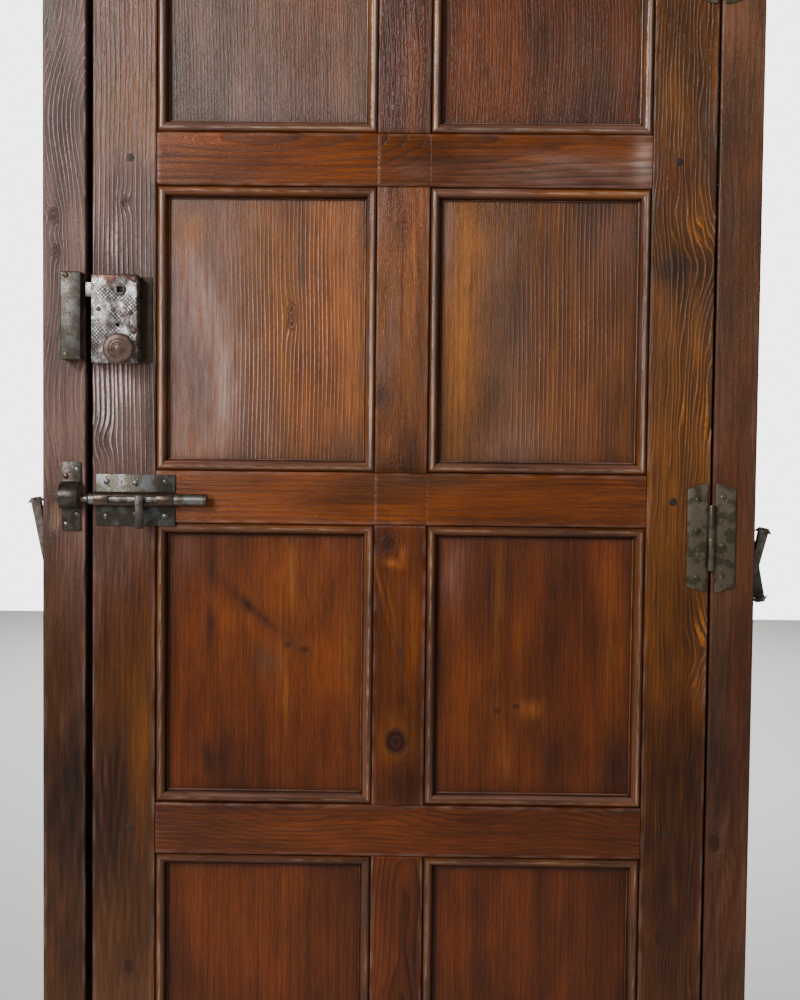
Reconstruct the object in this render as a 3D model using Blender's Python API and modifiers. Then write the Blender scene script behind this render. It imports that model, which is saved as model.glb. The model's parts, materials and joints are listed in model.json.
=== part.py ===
"""Panelled pine door leaf hung in its frame, with a rim lock, a slide bolt and lift-off hinges.

Metres, +Z up. X runs from the lock side to the hinge side, and -Y faces the room that the leaf
opens into. The origin lies on the floor line, under the middle of the leaf, in the plane of its
front face.
"""
import math

import bmesh
import bpy
from mathutils import Matrix, Vector

# Clearances
FIT = 0.0003
RUN = 0.0006
OVERRUN = 0.005
WELD_DISTANCE = 1e-6
MITRE_WELD = 1e-5
SMOOTH_ANGLE = math.radians(35.0)
LOCK_SIDE_GAP = 0.009
HINGE_SIDE_GAP = 0.003
FLOOR_GAP = 0.008
HEAD_GAP = 0.003
STOP_GAP = 0.0015

# Leaf
LEAF_WIDTH = 0.800
LEAF_THICKNESS = 0.042
STILE_WIDTH = 0.082
MUNTIN_WIDTH = 0.068
RAIL_HEIGHT = 0.068
TOP_RAIL_HEIGHT = 0.112
BOTTOM_RAIL_HEIGHT = 0.196
OPENING_HEIGHT = 0.367
ROWS = 4
MIDDLE_RAIL = 2

# Joinery
TENON_FRONT = 0.013
TENON_THICKNESS = 0.016
TENON_LENGTH = 0.060
TENON_EDGE = 0.001
END_HAUNCH = 0.030
MUNTIN_TENON_LENGTH = 0.025
MORTISE_SLACK = 0.002

# Panels and mouldings
PANEL_RECESS = 0.014
TONGUE_THICKNESS = 0.010
TONGUE_DEPTH = 0.009
GROOVE_SLACK = 0.002
FIELD_BORDER = 0.050
FIELD_RISE = 0.008
MOULDING_WIDTH = 0.016
MOULDING_SETBACK = 0.0005
MOULDING_ARRIS = 0.0012
MOULDING_CREST = 0.0065
MOULDING_SLOPE = 0.0052
MOULDING_DROP = 0.0070
MOULDING_STEPS = 4

# Frame
JAMB_FACE = 0.056
JAMB_DEPTH = 0.095
HEAD_FACE = 0.060
HEAD_HORN = 0.040
JAMB_TENON_LENGTH = 0.045
JAMB_TENON_SHOULDER = 0.010
JAMB_TENON_THICKNESS = 0.030
STOP_PROJECTION = 0.020

# Wall spikes
SPIKE_LENGTH = 0.140
SPIKE_WIDTH = 0.0123
SPIKE_TIP_WIDTH = 0.005
SPIKE_HEAD_RADIUS = 0.0120
SPIKE_CROWN_RADIUS = 0.0060
SPIKE_HEAD_THICKNESS = 0.0065
SPIKE_HEAD_SIDES = 8
SPIKE_DEPTH = 0.027
SPIKE_SPREAD = 0.0073
# Name, side, slope (1 points down), crown height, lean, shank outside the jamb
SPIKES = (
    ("spike_right_upper", 1, 1, 1.0066, math.radians(12.5), 0.0710),
    ("spike_right_lower", 1, -1, 0.9091, math.radians(9.0), 0.0980),
    ("spike_left", -1, 1, 1.0363, math.radians(9.8), 0.0805),
)

# Lock screws
SCREW_HEAD_RADIUS = 0.0042
SCREW_HEAD_HEIGHT = 0.0018
SCREW_CROWN_RADIUS = 0.0023
SCREW_CROWN_HEIGHT = 0.0015
SCREW_RIM_HEIGHT = 0.0005
SCREW_SHANK_RADIUS = 0.0018
SCREW_GRIP = 0.011
SCREW_SIDES = 10

# Hinges
HINGE_HEIGHT = 0.140
HINGE_PLATE_WIDTH = 0.026
HINGE_PLATE_THICKNESS = 0.0025
HINGE_CORNER_WIDTH = 0.0200
HINGE_CORNER_HEIGHT = 0.0070
KNUCKLE_RADIUS = 0.0046
KNUCKLE_LENGTH = 0.0423
KNUCKLE_GAP = 0.0005
KNUCKLE_WEB = 0.0020
HINGE_PIN_RADIUS = 0.0025
HINGE_SIDES = 16
MIDDLE_HINGE_DROP = 0.0455
TOP_HINGE_SETBACK = 0.243
BOTTOM_HINGE_SETBACK = 0.248

# Rim lock
LOCK_INSET = 0.0037
LOCK_RISE = 0.2270
LOCK_PLATE_THICKNESS = 0.0020
LOCK_PLATE_WIDTH = 0.0736
LOCK_PLATE_MARGIN = 0.0015
CASE_WIDTH = 0.0595
CASE_HEIGHT = 0.1130
CASE_DEPTH = 0.0244
CASE_WALL = 0.0016
CASE_ROUND = 0.0015
SPINDLE_OFFSET = 0.0372
HUB_RISE = 0.0370
HUB_RADIUS = 0.0075
HUB_PROUD = 0.0012
HUB_SOCKET = 0.0072
SPINDLE_HOLE_RADIUS = 0.0080
ARM_THICKNESS = 0.0040
ARM_WIDTH = 0.0060
ARM_OVERHANG = 0.0030
ARM_PIN_RADIUS = 0.0020
ARM_PIN_PLAY = 0.0007
HUB_ARM_REACH = 0.0140
LATCH_HEIGHT = 0.0180
LATCH_THICKNESS = 0.0120
LATCH_OUT = 0.0071
LATCH_BEVEL = 0.0080
LATCH_NOSE = 0.0040
LATCH_TRAVEL_OUT = 0.0099
LATCH_TRAVEL_IN = 0.0062
TAIL_THICKNESS = 0.0040
TAIL_HEIGHT = 0.0112
TAIL_REACH = 0.0096
SPRING_RADIUS = 0.0032
SPRING_WIRE = 0.00045
SPRING_TURNS = 5
SPRING_POINTS = 9
KNOB_DROP = 0.0380
KNOB_RADIUS = 0.0195
KNOB_THICKNESS = 0.0160
KNOB_NECK_RADIUS = 0.0095
KNOB_NECK = 0.0050
KNOB_RING_RADIUS = 0.0127
KNOB_RING_DEPTH = 0.0016
KNOB_BOSS_RADIUS = 0.0087
KNOB_SIDES = 40
KNOB_SPINDLE_RADIUS = 0.0040
KNOB_SPINDLE_BITE = 0.0090
CRANK_REACH = 0.0127
CRANK_ANGLE = math.radians(45.0)
DEAD_BOLT_HEIGHT = 0.0120
DEAD_BOLT_THICKNESS = 0.0060
DEAD_BOLT_TAIL = 0.0066
DEAD_BOLT_RECESS = 0.0005
CASE_SCREW_EDGE = 0.0042
CASE_SCREWS = (("lock_screw_upper", 0.0501), ("lock_screw_lower", -0.0148))
KEYHOLE_RADIUS = 0.0026
KEYHOLE = (0.0341, -0.0075)

# Lock keeper on the jamb
KEEPER_WIDTH = 0.0268
KEEPER_HEIGHT = 0.1120
KEEPER_DEPTH = 0.0280
KEEPER_WALL = 0.0024
KEEPER_POCKET = 0.0150
KEEPER_RISE = 0.0036
KEEPER_ROUND = 0.0020

# Slide bolt
BOLT_PLATE_INSET = 0.0051
BOLT_PLATE_WIDTH = 0.1027
BOLT_PLATE_HEIGHT = 0.0664
BOLT_PLATE_THICKNESS = 0.0020
BOLT_PLATE_DROP = 0.0048
BOLT_AXIS_DROP = 0.0034
BOLT_ROD_RADIUS = 0.0077
BOLT_TIP_RADIUS = 0.0050
BOLT_TIP_LENGTH = 0.0082
BOLT_ROD_LENGTH = 0.1628
BOLT_THROW = 0.0370
BOLT_TIP_CLEARANCE = 0.0022
BARREL_WALL = 0.0019
BARREL_SINK = 0.0008
BARREL_SIDES = 24
SLOT_START = 0.0190
SLOT_LENGTH = 0.0630
SLOT_HEIGHT = 0.0090
STEM_RADIUS = 0.0035
STEM_SEAT = 0.0040
HANDLE_WIDTH = 0.0110
HANDLE_THICKNESS = 0.0040
HANDLE_GAP = 0.0015
HANDLE_DROP = 0.0370
HANDLE_RISE = 0.0060
HANDLE_ROUND = 0.0012

# Bolt keeper on the jamb
STRAP_INSET = 0.0056
STRAP_WIDTH = 0.0246
STRAP_THICKNESS = 0.0022
STRAP_HALF_SPAN = 0.0180
STRAP_CREST = 0.0280
STRAP_RISE = 0.0005
STRAP_TOP = 0.0434
STRAP_FOOT = 0.0461
STRAP_STEPS = 12

# Finishes: linear colour, roughness, metallic
PINE = ((0.20, 0.075, 0.028), 0.35, 0.0)
JAMB_PINE = ((0.15, 0.065, 0.035), 0.40, 0.0)
PANEL_PINE = ((0.17, 0.060, 0.025), 0.35, 0.0)
MOULDING_PINE = ((0.13, 0.052, 0.025), 0.32, 0.0)
OLD_IRON = ((0.055, 0.045, 0.032), 0.55, 0.9)
GREY_STEEL = ((0.22, 0.23, 0.24), 0.45, 1.0)
BRIGHT_STEEL = ((0.42, 0.40, 0.37), 0.35, 1.0)
BROWN_METAL = ((0.14, 0.07, 0.04), 0.40, 0.7)

# Places worked out from the sizes above
LEAF_HALF = LEAF_WIDTH / 2
STILE_INNER = LEAF_HALF - STILE_WIDTH
MUNTIN_HALF = MUNTIN_WIDTH / 2
GROOVE_DEPTH = TONGUE_DEPTH + GROOVE_SLACK
TENON_SHOULDER = GROOVE_DEPTH + TENON_EDGE
LEAF_BOTTOM = FLOOR_GAP
LEAF_HEIGHT = BOTTOM_RAIL_HEIGHT + ROWS * OPENING_HEIGHT + (ROWS - 1) * RAIL_HEIGHT + TOP_RAIL_HEIGHT
LEAF_TOP = LEAF_BOTTOM + LEAF_HEIGHT
HEAD_BOTTOM = LEAF_TOP + HEAD_GAP
JAMB_LEFT = -(LEAF_HALF + LOCK_SIDE_GAP)
JAMB_RIGHT = LEAF_HALF + HINGE_SIDE_GAP
PIN_X = LEAF_HALF + HINGE_SIDE_GAP / 2
PIN_Y = -(FIT + KNUCKLE_RADIUS)


def opening_bottom(row):
    """Height of the lower edge of a row of panel openings, counted from the bottom row, 0."""
    return LEAF_BOTTOM + BOTTOM_RAIL_HEIGHT + row * (OPENING_HEIGHT + RAIL_HEIGHT)


MIDDLE_RAIL_Z = opening_bottom(MIDDLE_RAIL) - RAIL_HEIGHT / 2
HINGE_HEIGHTS = {
    "top": LEAF_TOP - TOP_HINGE_SETBACK,
    "middle": MIDDLE_RAIL_Z - MIDDLE_HINGE_DROP,
    "bottom": LEAF_BOTTOM + BOTTOM_HINGE_SETBACK,
}
LOCK_LEFT = -LEAF_HALF + LOCK_INSET
CASE_RIGHT = LOCK_LEFT + CASE_WIDTH
LOCK_Z = MIDDLE_RAIL_Z + LOCK_RISE
LOCK_PLATE_FRONT = -(FIT + LOCK_PLATE_THICKNESS)
CASE_BACK = LOCK_PLATE_FRONT - FIT
CASE_FRONT = CASE_BACK - CASE_DEPTH
CASE_INNER_FRONT = CASE_FRONT + CASE_WALL
SPINDLE_X = LOCK_LEFT + SPINDLE_OFFSET
HUB_Z = LOCK_Z + HUB_RISE
KNOB_Z = LOCK_Z - KNOB_DROP
ARM_FRONT = CASE_INNER_FRONT + RUN
ARM_BACK = ARM_FRONT + ARM_THICKNESS
TAIL_FRONT = ARM_BACK + RUN
TAIL_BACK = TAIL_FRONT + TAIL_THICKNESS
DEAD_BOLT_BACK = TAIL_FRONT + DEAD_BOLT_THICKNESS
NOTCH_HALF = ARM_PIN_RADIUS + ARM_PIN_PLAY
KEEPER_Z = LOCK_Z + KEEPER_RISE
BOLT_PLATE_LEFT = -LEAF_HALF + BOLT_PLATE_INSET
BOLT_PLATE_RIGHT = BOLT_PLATE_LEFT + BOLT_PLATE_WIDTH
BOLT_PLATE_Z = MIDDLE_RAIL_Z - BOLT_PLATE_DROP
BOLT_Z = MIDDLE_RAIL_Z - BOLT_AXIS_DROP
BOLT_PLATE_FRONT = -(FIT + BOLT_PLATE_THICKNESS)
BARREL_BORE = BOLT_ROD_RADIUS + FIT
BARREL_RADIUS = BARREL_BORE + BARREL_WALL
BOLT_Y = BOLT_PLATE_FRONT + BARREL_SINK - BARREL_RADIUS
STRAP_RIGHT = JAMB_LEFT - STRAP_INSET
STRAP_LEFT = STRAP_RIGHT - STRAP_WIDTH
STRAP_Z = MIDDLE_RAIL_Z + STRAP_RISE
BOLT_TIP_X = STRAP_RIGHT + BOLT_TIP_CLEARANCE
STEM_X = BOLT_PLATE_LEFT + SLOT_START + STEM_RADIUS + RUN + BOLT_THROW


# Scene, objects and Booleans
def empty_scene():
    """Remove every object that the file starts with."""
    for obj in list(bpy.data.objects):
        bpy.data.objects.remove(obj, do_unlink=True)


def new_collection(name):
    """Add a collection to the scene and return it."""
    group = bpy.data.collections.new(name)
    bpy.context.scene.collection.children.link(group)
    return group


empty_scene()
PARTS = new_collection("wooden_door")
CUTTERS = new_collection("cutters")


def axis_empty(name, place, carrier=None):
    """Add an empty on a joint's axis, for the moving pieces to hang on."""
    empty = bpy.data.objects.new(name, None)
    PARTS.objects.link(empty)
    attach(empty, place, carrier)
    return empty


def attach(obj, place, carrier):
    """Set an object at a world place, under a carrier that isn't turned or scaled."""
    obj.location = place
    if carrier:
        obj.parent = carrier
        obj.location = Vector(place) - world_place(carrier)


def world_place(obj):
    """Return the world place of an object whose parents are only moved."""
    place = Vector(obj.location)
    while obj.parent:
        obj = obj.parent
        place += obj.location
    return place


def finish_of(name, values):
    """Make the material of one piece from its colour, roughness and metallic value."""
    colour, roughness, metallic = values
    material = bpy.data.materials.new(name)
    material.use_nodes = True
    shader = material.node_tree.nodes["Principled BSDF"]
    shader.inputs["Base Color"].default_value = (*colour, 1.0)
    shader.inputs["Roughness"].default_value = roughness
    shader.inputs["Metallic"].default_value = metallic
    material.diffuse_color = (*colour, 1.0)
    return material


def mesh_from(name, shape):
    """Turn a bmesh into a mesh and free it."""
    mesh = bpy.data.meshes.new(name)
    shape.to_mesh(mesh)
    shape.free()
    return mesh


def solid(name, shape, values, carrier=None, origin=None, smooth=False):
    """Add one named piece; its origin is the middle of its box unless a place is given."""
    if origin is None:
        low = [min(vert.co[axis] for vert in shape.verts) for axis in range(3)]
        high = [max(vert.co[axis] for vert in shape.verts) for axis in range(3)]
        origin = [(a + b) / 2 for a, b in zip(low, high)]
    bmesh.ops.translate(shape, vec=-Vector(origin), verts=shape.verts)
    obj = bpy.data.objects.new(name, mesh_from(name, shape))
    obj.data.materials.append(finish_of(name, values))
    if smooth:
        obj.data.shade_smooth()
        obj.data.set_sharp_from_angle(angle=SMOOTH_ANGLE)
    PARTS.objects.link(obj)
    attach(obj, origin, carrier)
    return obj


def tool(name, shape):
    """Add a hidden shape that cuts pieces or is joined to one."""
    obj = bpy.data.objects.new(name, mesh_from(name, shape))
    obj.hide_render = True
    obj.display_type = "WIRE"
    CUTTERS.objects.link(obj)
    return obj


def boolean(target, shape_tool, operation):
    """Give a piece a Boolean with a hidden shape."""
    modifier = target.modifiers.new(shape_tool.name, "BOOLEAN")
    modifier.operation = operation
    modifier.solver = "EXACT"
    modifier.object = shape_tool


def cut(target, *tools):
    """Cut hidden shapes out of a piece."""
    for shape_tool in tools:
        boolean(target, shape_tool, "DIFFERENCE")


def weld(target, *tools):
    """Join hidden shapes to a piece."""
    for shape_tool in tools:
        boolean(target, shape_tool, "UNION")


def round_edges(target, width, segments=2):
    """Round a piece's sharp edges."""
    modifier = target.modifiers.new("rounded_edges", "BEVEL")
    modifier.width = width
    modifier.segments = segments
    modifier.limit_method = "ANGLE"


# Shapes
def boxes(*corner_pairs):
    """Return a bmesh with a cuboid between each pair of opposite corners."""
    shape = bmesh.new()
    for first, second in corner_pairs:
        size = [abs(b - a) for a, b in zip(first, second)]
        middle = [(a + b) / 2 for a, b in zip(first, second)]
        place = Matrix.Translation(middle) @ Matrix.Diagonal((*size, 1.0))
        bmesh.ops.create_cube(shape, size=1.0, matrix=place)
    return shape


def rods(sides, *ends):
    """Return a bmesh with a round bar for each (start, end, radius)."""
    shape = bmesh.new()
    for start, end, radius in ends:
        along = Vector(end) - Vector(start)
        turn = Vector((0, 0, 1)).rotation_difference(along).to_matrix().to_4x4()
        place = Matrix.Translation((Vector(start) + Vector(end)) / 2) @ turn
        bmesh.ops.create_cone(shape, cap_ends=True, segments=sides, radius1=radius, radius2=radius,
                              depth=along.length, matrix=place)
    return shape


def shape_of(obj):
    """Evaluate a helper object into a welded bmesh, and remove the helper."""
    CUTTERS.objects.link(obj)
    depsgraph = bpy.context.evaluated_depsgraph_get()
    mesh = bpy.data.meshes.new_from_object(obj.evaluated_get(depsgraph))
    shape = bmesh.new()
    shape.from_mesh(mesh)
    bmesh.ops.remove_doubles(shape, verts=shape.verts, dist=WELD_DISTANCE)
    bmesh.ops.recalc_face_normals(shape, faces=shape.faces)
    bpy.data.meshes.remove(mesh)
    bpy.data.objects.remove(obj, do_unlink=True)
    return shape


def outline(points, thickness, fill="BOTH"):
    """Return a flat outline in XY, thickened to both sides along Z; fill NONE leaves the ends open."""
    curve = bpy.data.curves.new("outline", "CURVE")
    curve.dimensions = "2D"
    curve.fill_mode = fill
    curve.extrude = thickness / 2
    spline = curve.splines.new("POLY")
    spline.points.add(len(points) - 1)
    spline.use_cyclic_u = True
    for point, (across, up) in zip(spline.points, points):
        point.co = (across, up, 0.0, 1.0)
    return shape_of(bpy.data.objects.new("outline", curve))


def front_outline(points, front, back):
    """Return an outline drawn as seen from the front, in X and Z, between two depths."""
    shape = outline(points, back - front)
    shape.transform(facing_front(0, (front + back) / 2, 0))
    return shape


def turned(profile, sides):
    """Return a shape turned about Z from (radius, height) points, listed from the top down."""
    mesh = bpy.data.meshes.new("profile")
    edges = [(index, index + 1) for index in range(len(profile) - 1)]
    mesh.from_pydata([(radius, 0.0, height) for radius, height in profile], edges, [])
    obj = bpy.data.objects.new("profile", mesh)
    screw = obj.modifiers.new("turn", "SCREW")
    screw.steps = sides
    screw.render_steps = sides
    screw.use_merge_vertices = True
    screw.merge_threshold = WELD_DISTANCE
    return shape_of(obj)


def facing_front(x, y, z):
    """Return the placement that turns a shape's +Z towards the front, at a place."""
    return Matrix.Translation((x, y, z)) @ Matrix.Rotation(math.radians(90), 4, "X")


def add_shape(target, shape, placement):
    """Add a placed shape to another bmesh, and free it."""
    shape.transform(placement)
    mesh = mesh_from("placed", shape)
    target.from_mesh(mesh)
    bpy.data.meshes.remove(mesh)


# Leaf joinery
def rails():
    """Return (name, bottom, top, tenon bottom, tenon top) of each rail, from the floor up."""
    names = ["rail_bottom", "rail_lower", "rail_middle", "rail_upper", "rail_top"]
    heights = [BOTTOM_RAIL_HEIGHT] + [RAIL_HEIGHT] * (ROWS - 1) + [TOP_RAIL_HEIGHT]
    rows = []
    bottom = LEAF_BOTTOM
    for index, (name, height) in enumerate(zip(names, heights)):
        top = bottom + height
        low_margin = END_HAUNCH if index == 0 else TENON_SHOULDER
        high_margin = END_HAUNCH if index == ROWS else TENON_SHOULDER
        rows.append((name, bottom, top, bottom + low_margin, top - high_margin))
        bottom = top + OPENING_HEIGHT
    return rows


def build_stiles(carrier, screw_holes):
    """Build the two stiles, grooved for the panels and mortised for the rails."""
    mortise_front = TENON_FRONT - FIT
    mortise_back = TENON_FRONT + TENON_THICKNESS + FIT
    groove_front = PANEL_RECESS - FIT
    groove_back = PANEL_RECESS + TONGUE_THICKNESS + FIT
    groove_bottom = opening_bottom(0) - GROOVE_DEPTH
    groove_top = opening_bottom(ROWS - 1) + OPENING_HEIGHT + GROOVE_DEPTH
    for name, side in (("stile_lock", -1), ("stile_hinge", 1)):
        inner = side * STILE_INNER
        stile = solid(name, boxes(((inner, 0, LEAF_BOTTOM), (side * LEAF_HALF, LEAF_THICKNESS, LEAF_TOP))),
                      PINE, carrier)
        start = inner - side * OVERRUN
        groove_end = inner + side * GROOVE_DEPTH
        groove = boxes(((start, groove_front, groove_bottom), (groove_end, groove_back, groove_top)))
        mortise_end = inner + side * (TENON_LENGTH + MORTISE_SLACK)
        mortises = boxes(*[((start, mortise_front, low - FIT), (mortise_end, mortise_back, high + FIT))
                           for _, _, _, low, high in rails()])
        cut(stile, tool(name + "_groove", groove), tool(name + "_mortises", mortises))
        if name == "stile_lock":
            front = (SPINDLE_X, -OVERRUN, HUB_Z)
            back = (SPINDLE_X, LEAF_THICKNESS + OVERRUN, HUB_Z)
            bore = rods(HINGE_SIDES, (front, back, SPINDLE_HOLE_RADIUS))
            cut(stile, tool("spindle_bore", bore), screw_holes)


def build_rails(carrier):
    """Build the five rails with their tenons, grooves and the mortises of the muntins."""
    half = STILE_INNER - FIT
    tenon_end = STILE_INNER + TENON_LENGTH
    muntin_half = MUNTIN_HALF - TENON_SHOULDER + FIT
    for index, (name, bottom, top, tenon_bottom, tenon_top) in enumerate(rails()):
        rail = solid(name, boxes(((-half, 0, bottom), (half, LEAF_THICKNESS, top))), PINE, carrier)
        tenons = boxes(((-tenon_end, TENON_FRONT, tenon_bottom),
                        (tenon_end, TENON_FRONT + TENON_THICKNESS, tenon_top)))
        weld(rail, tool(name + "_tenons", tenons))
        edges = [(bottom, 1)] if index > 0 else []
        edges += [(top, -1)] if index < ROWS else []
        groove_back = PANEL_RECESS + TONGUE_THICKNESS + FIT
        grooves = boxes(*[((-half - OVERRUN, PANEL_RECESS - FIT, edge - inward * OVERRUN),
                           (half + OVERRUN, groove_back, edge + inward * GROOVE_DEPTH))
                          for edge, inward in edges])
        depth = MUNTIN_TENON_LENGTH + MORTISE_SLACK
        mortises = boxes(*[((-muntin_half, TENON_FRONT - FIT, edge - inward * OVERRUN),
                            (muntin_half, TENON_FRONT + TENON_THICKNESS + FIT, edge + inward * depth))
                           for edge, inward in edges])
        cut(rail, tool(name + "_grooves", grooves), tool(name + "_mortises", mortises))


def build_muntins(carrier):
    """Build the upright between the two panels of each row."""
    tenon_half = MUNTIN_HALF - TENON_SHOULDER
    for row in range(ROWS):
        name = f"muntin_row{ROWS - row}"
        bottom = opening_bottom(row) + FIT
        top = opening_bottom(row) + OPENING_HEIGHT - FIT
        body = boxes(((-MUNTIN_HALF, 0, bottom), (MUNTIN_HALF, LEAF_THICKNESS, top)))
        muntin = solid(name, body, PINE, carrier)
        tenons = boxes(((-tenon_half, TENON_FRONT, bottom - MUNTIN_TENON_LENGTH),
                        (tenon_half, TENON_FRONT + TENON_THICKNESS, top + MUNTIN_TENON_LENGTH)))
        weld(muntin, tool(name + "_tenons", tenons))
        groove_back = PANEL_RECESS + TONGUE_THICKNESS + FIT
        grooves = boxes(*[((side * (MUNTIN_HALF + OVERRUN), PANEL_RECESS - FIT, bottom - OVERRUN),
                           (side * (MUNTIN_HALF - GROOVE_DEPTH), groove_back, top + OVERRUN))
                          for side in (-1, 1)])
        cut(muntin, tool(name + "_grooves", grooves))


def panel_openings():
    """Return (name suffix, left, right, bottom, top) of each panel opening."""
    openings = []
    for row in range(ROWS):
        bottom = opening_bottom(row)
        columns = (("left", -STILE_INNER, -MUNTIN_HALF), ("right", MUNTIN_HALF, STILE_INNER))
        for column, left, right in columns:
            openings.append((f"row{ROWS - row}_{column}", left, right, bottom, bottom + OPENING_HEIGHT))
    return openings


def build_panels(carrier):
    """Build the panels: flat in front, raised in a bevelled field behind."""
    for suffix, left, right, bottom, top in panel_openings():
        back = PANEL_RECESS + TONGUE_THICKNESS
        shape = boxes(((left - TONGUE_DEPTH, PANEL_RECESS, bottom - TONGUE_DEPTH),
                       (right + TONGUE_DEPTH, back, top + TONGUE_DEPTH)))
        field = max(shape.faces, key=lambda face: face.calc_center_median().y)
        bmesh.ops.inset_region(shape, faces=[field], thickness=TONGUE_DEPTH + RUN, use_even_offset=True)
        bmesh.ops.inset_region(shape, faces=[field], thickness=FIELD_BORDER, use_even_offset=True)
        bmesh.ops.translate(shape, vec=(0, FIELD_RISE, 0), verts=field.verts)
        solid("panel_" + suffix, shape, PANEL_PINE, carrier)


def moulding_profile():
    """Return the moulding's section: distance in from the edge of the opening, and depth."""
    back = PANEL_RECESS - FIT
    points = [(FIT, back), (FIT, MOULDING_SETBACK + MOULDING_ARRIS),
              (FIT + MOULDING_ARRIS, MOULDING_SETBACK)]
    for step in range(MOULDING_STEPS + 1):
        turn = math.radians(90.0) * step / MOULDING_STEPS
        across = MOULDING_CREST + MOULDING_SLOPE * math.sin(turn)
        points.append((across, MOULDING_SETBACK + MOULDING_DROP * (1 - math.cos(turn))))
    fillet = MOULDING_SETBACK + MOULDING_DROP + MOULDING_ARRIS
    points += [(MOULDING_WIDTH, fillet), (MOULDING_WIDTH, back)]
    return points


def moulding_strip(length):
    """Return one upright strip, its outer edge on X = 0, with open mitred ends."""
    strip = outline(moulding_profile(), length, "NONE")
    for vert in strip.verts:
        end = 1 if vert.co.z > 0 else -1
        vert.co.z = end * (length / 2 - vert.co.x)
    return strip


def build_mouldings(carrier):
    """Build the frame of four mitred strips that holds each panel."""
    for suffix, left, right, bottom, top in panel_openings():
        middle_x = (left + right) / 2
        middle_z = (bottom + top) / 2
        frame = bmesh.new()
        sides = ((left, middle_z, top - bottom), (middle_x, top, right - left),
                 (right, middle_z, top - bottom), (middle_x, bottom, right - left))
        for quarter, (x, z, length) in enumerate(sides):
            turn = Matrix.Rotation(math.radians(90.0 * quarter), 4, "Y")
            add_shape(frame, moulding_strip(length), Matrix.Translation((x, 0, z)) @ turn)
        bmesh.ops.remove_doubles(frame, verts=frame.verts, dist=MITRE_WELD)
        bmesh.ops.recalc_face_normals(frame, faces=frame.faces)
        solid("moulding_" + suffix, frame, MOULDING_PINE, carrier)


# Frame
def spike_shank(reach, grow):
    """Return the tapered square shank of a spike that stands out by its reach, grown by a clearance."""
    shape = bmesh.new()
    corner = math.sqrt(2.0) / 2
    bmesh.ops.create_cone(shape, cap_ends=True, segments=4, radius1=(SPIKE_TIP_WIDTH + 2 * grow) * corner,
                          radius2=(SPIKE_WIDTH + 2 * grow) * corner, depth=SPIKE_LENGTH + 2 * grow,
                          matrix=Matrix.Rotation(math.radians(45), 4, "Z"))
    bmesh.ops.translate(shape, vec=(0, 0, reach - SPIKE_LENGTH / 2), verts=shape.verts)
    return shape


def build_spikes():
    """Build the spikes driven through the jambs' outer faces; return the holes they make, by side."""
    holes = {1: bmesh.new(), -1: bmesh.new()}
    faces = {1: JAMB_RIGHT + JAMB_FACE, -1: JAMB_LEFT - JAMB_FACE}
    for name, side, slope, crown, lean, reach in SPIKES:
        turn = lean if slope > 0 else math.pi - lean
        place = (faces[side], SPIKE_DEPTH - slope * SPIKE_SPREAD, crown - slope * reach * math.cos(lean))
        placement = Matrix.Translation(place) @ Matrix.Rotation(side * turn, 4, "Y")
        shank = spike_shank(reach, 0.0)
        shank.transform(placement)
        spike = solid(name, shank, OLD_IRON)
        head = bmesh.new()
        middle = Matrix.Translation((0, 0, reach - SPIKE_HEAD_THICKNESS / 2 + RUN))
        bmesh.ops.create_cone(head, cap_ends=True, segments=SPIKE_HEAD_SIDES, radius1=SPIKE_HEAD_RADIUS,
                              radius2=SPIKE_CROWN_RADIUS, depth=SPIKE_HEAD_THICKNESS,
                              matrix=placement @ middle)
        weld(spike, tool(name + "_head", head))
        add_shape(holes[side], spike_shank(reach, FIT), placement)
    return {1: tool("spike_holes_right", holes[1]), -1: tool("spike_holes_left", holes[-1])}


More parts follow.
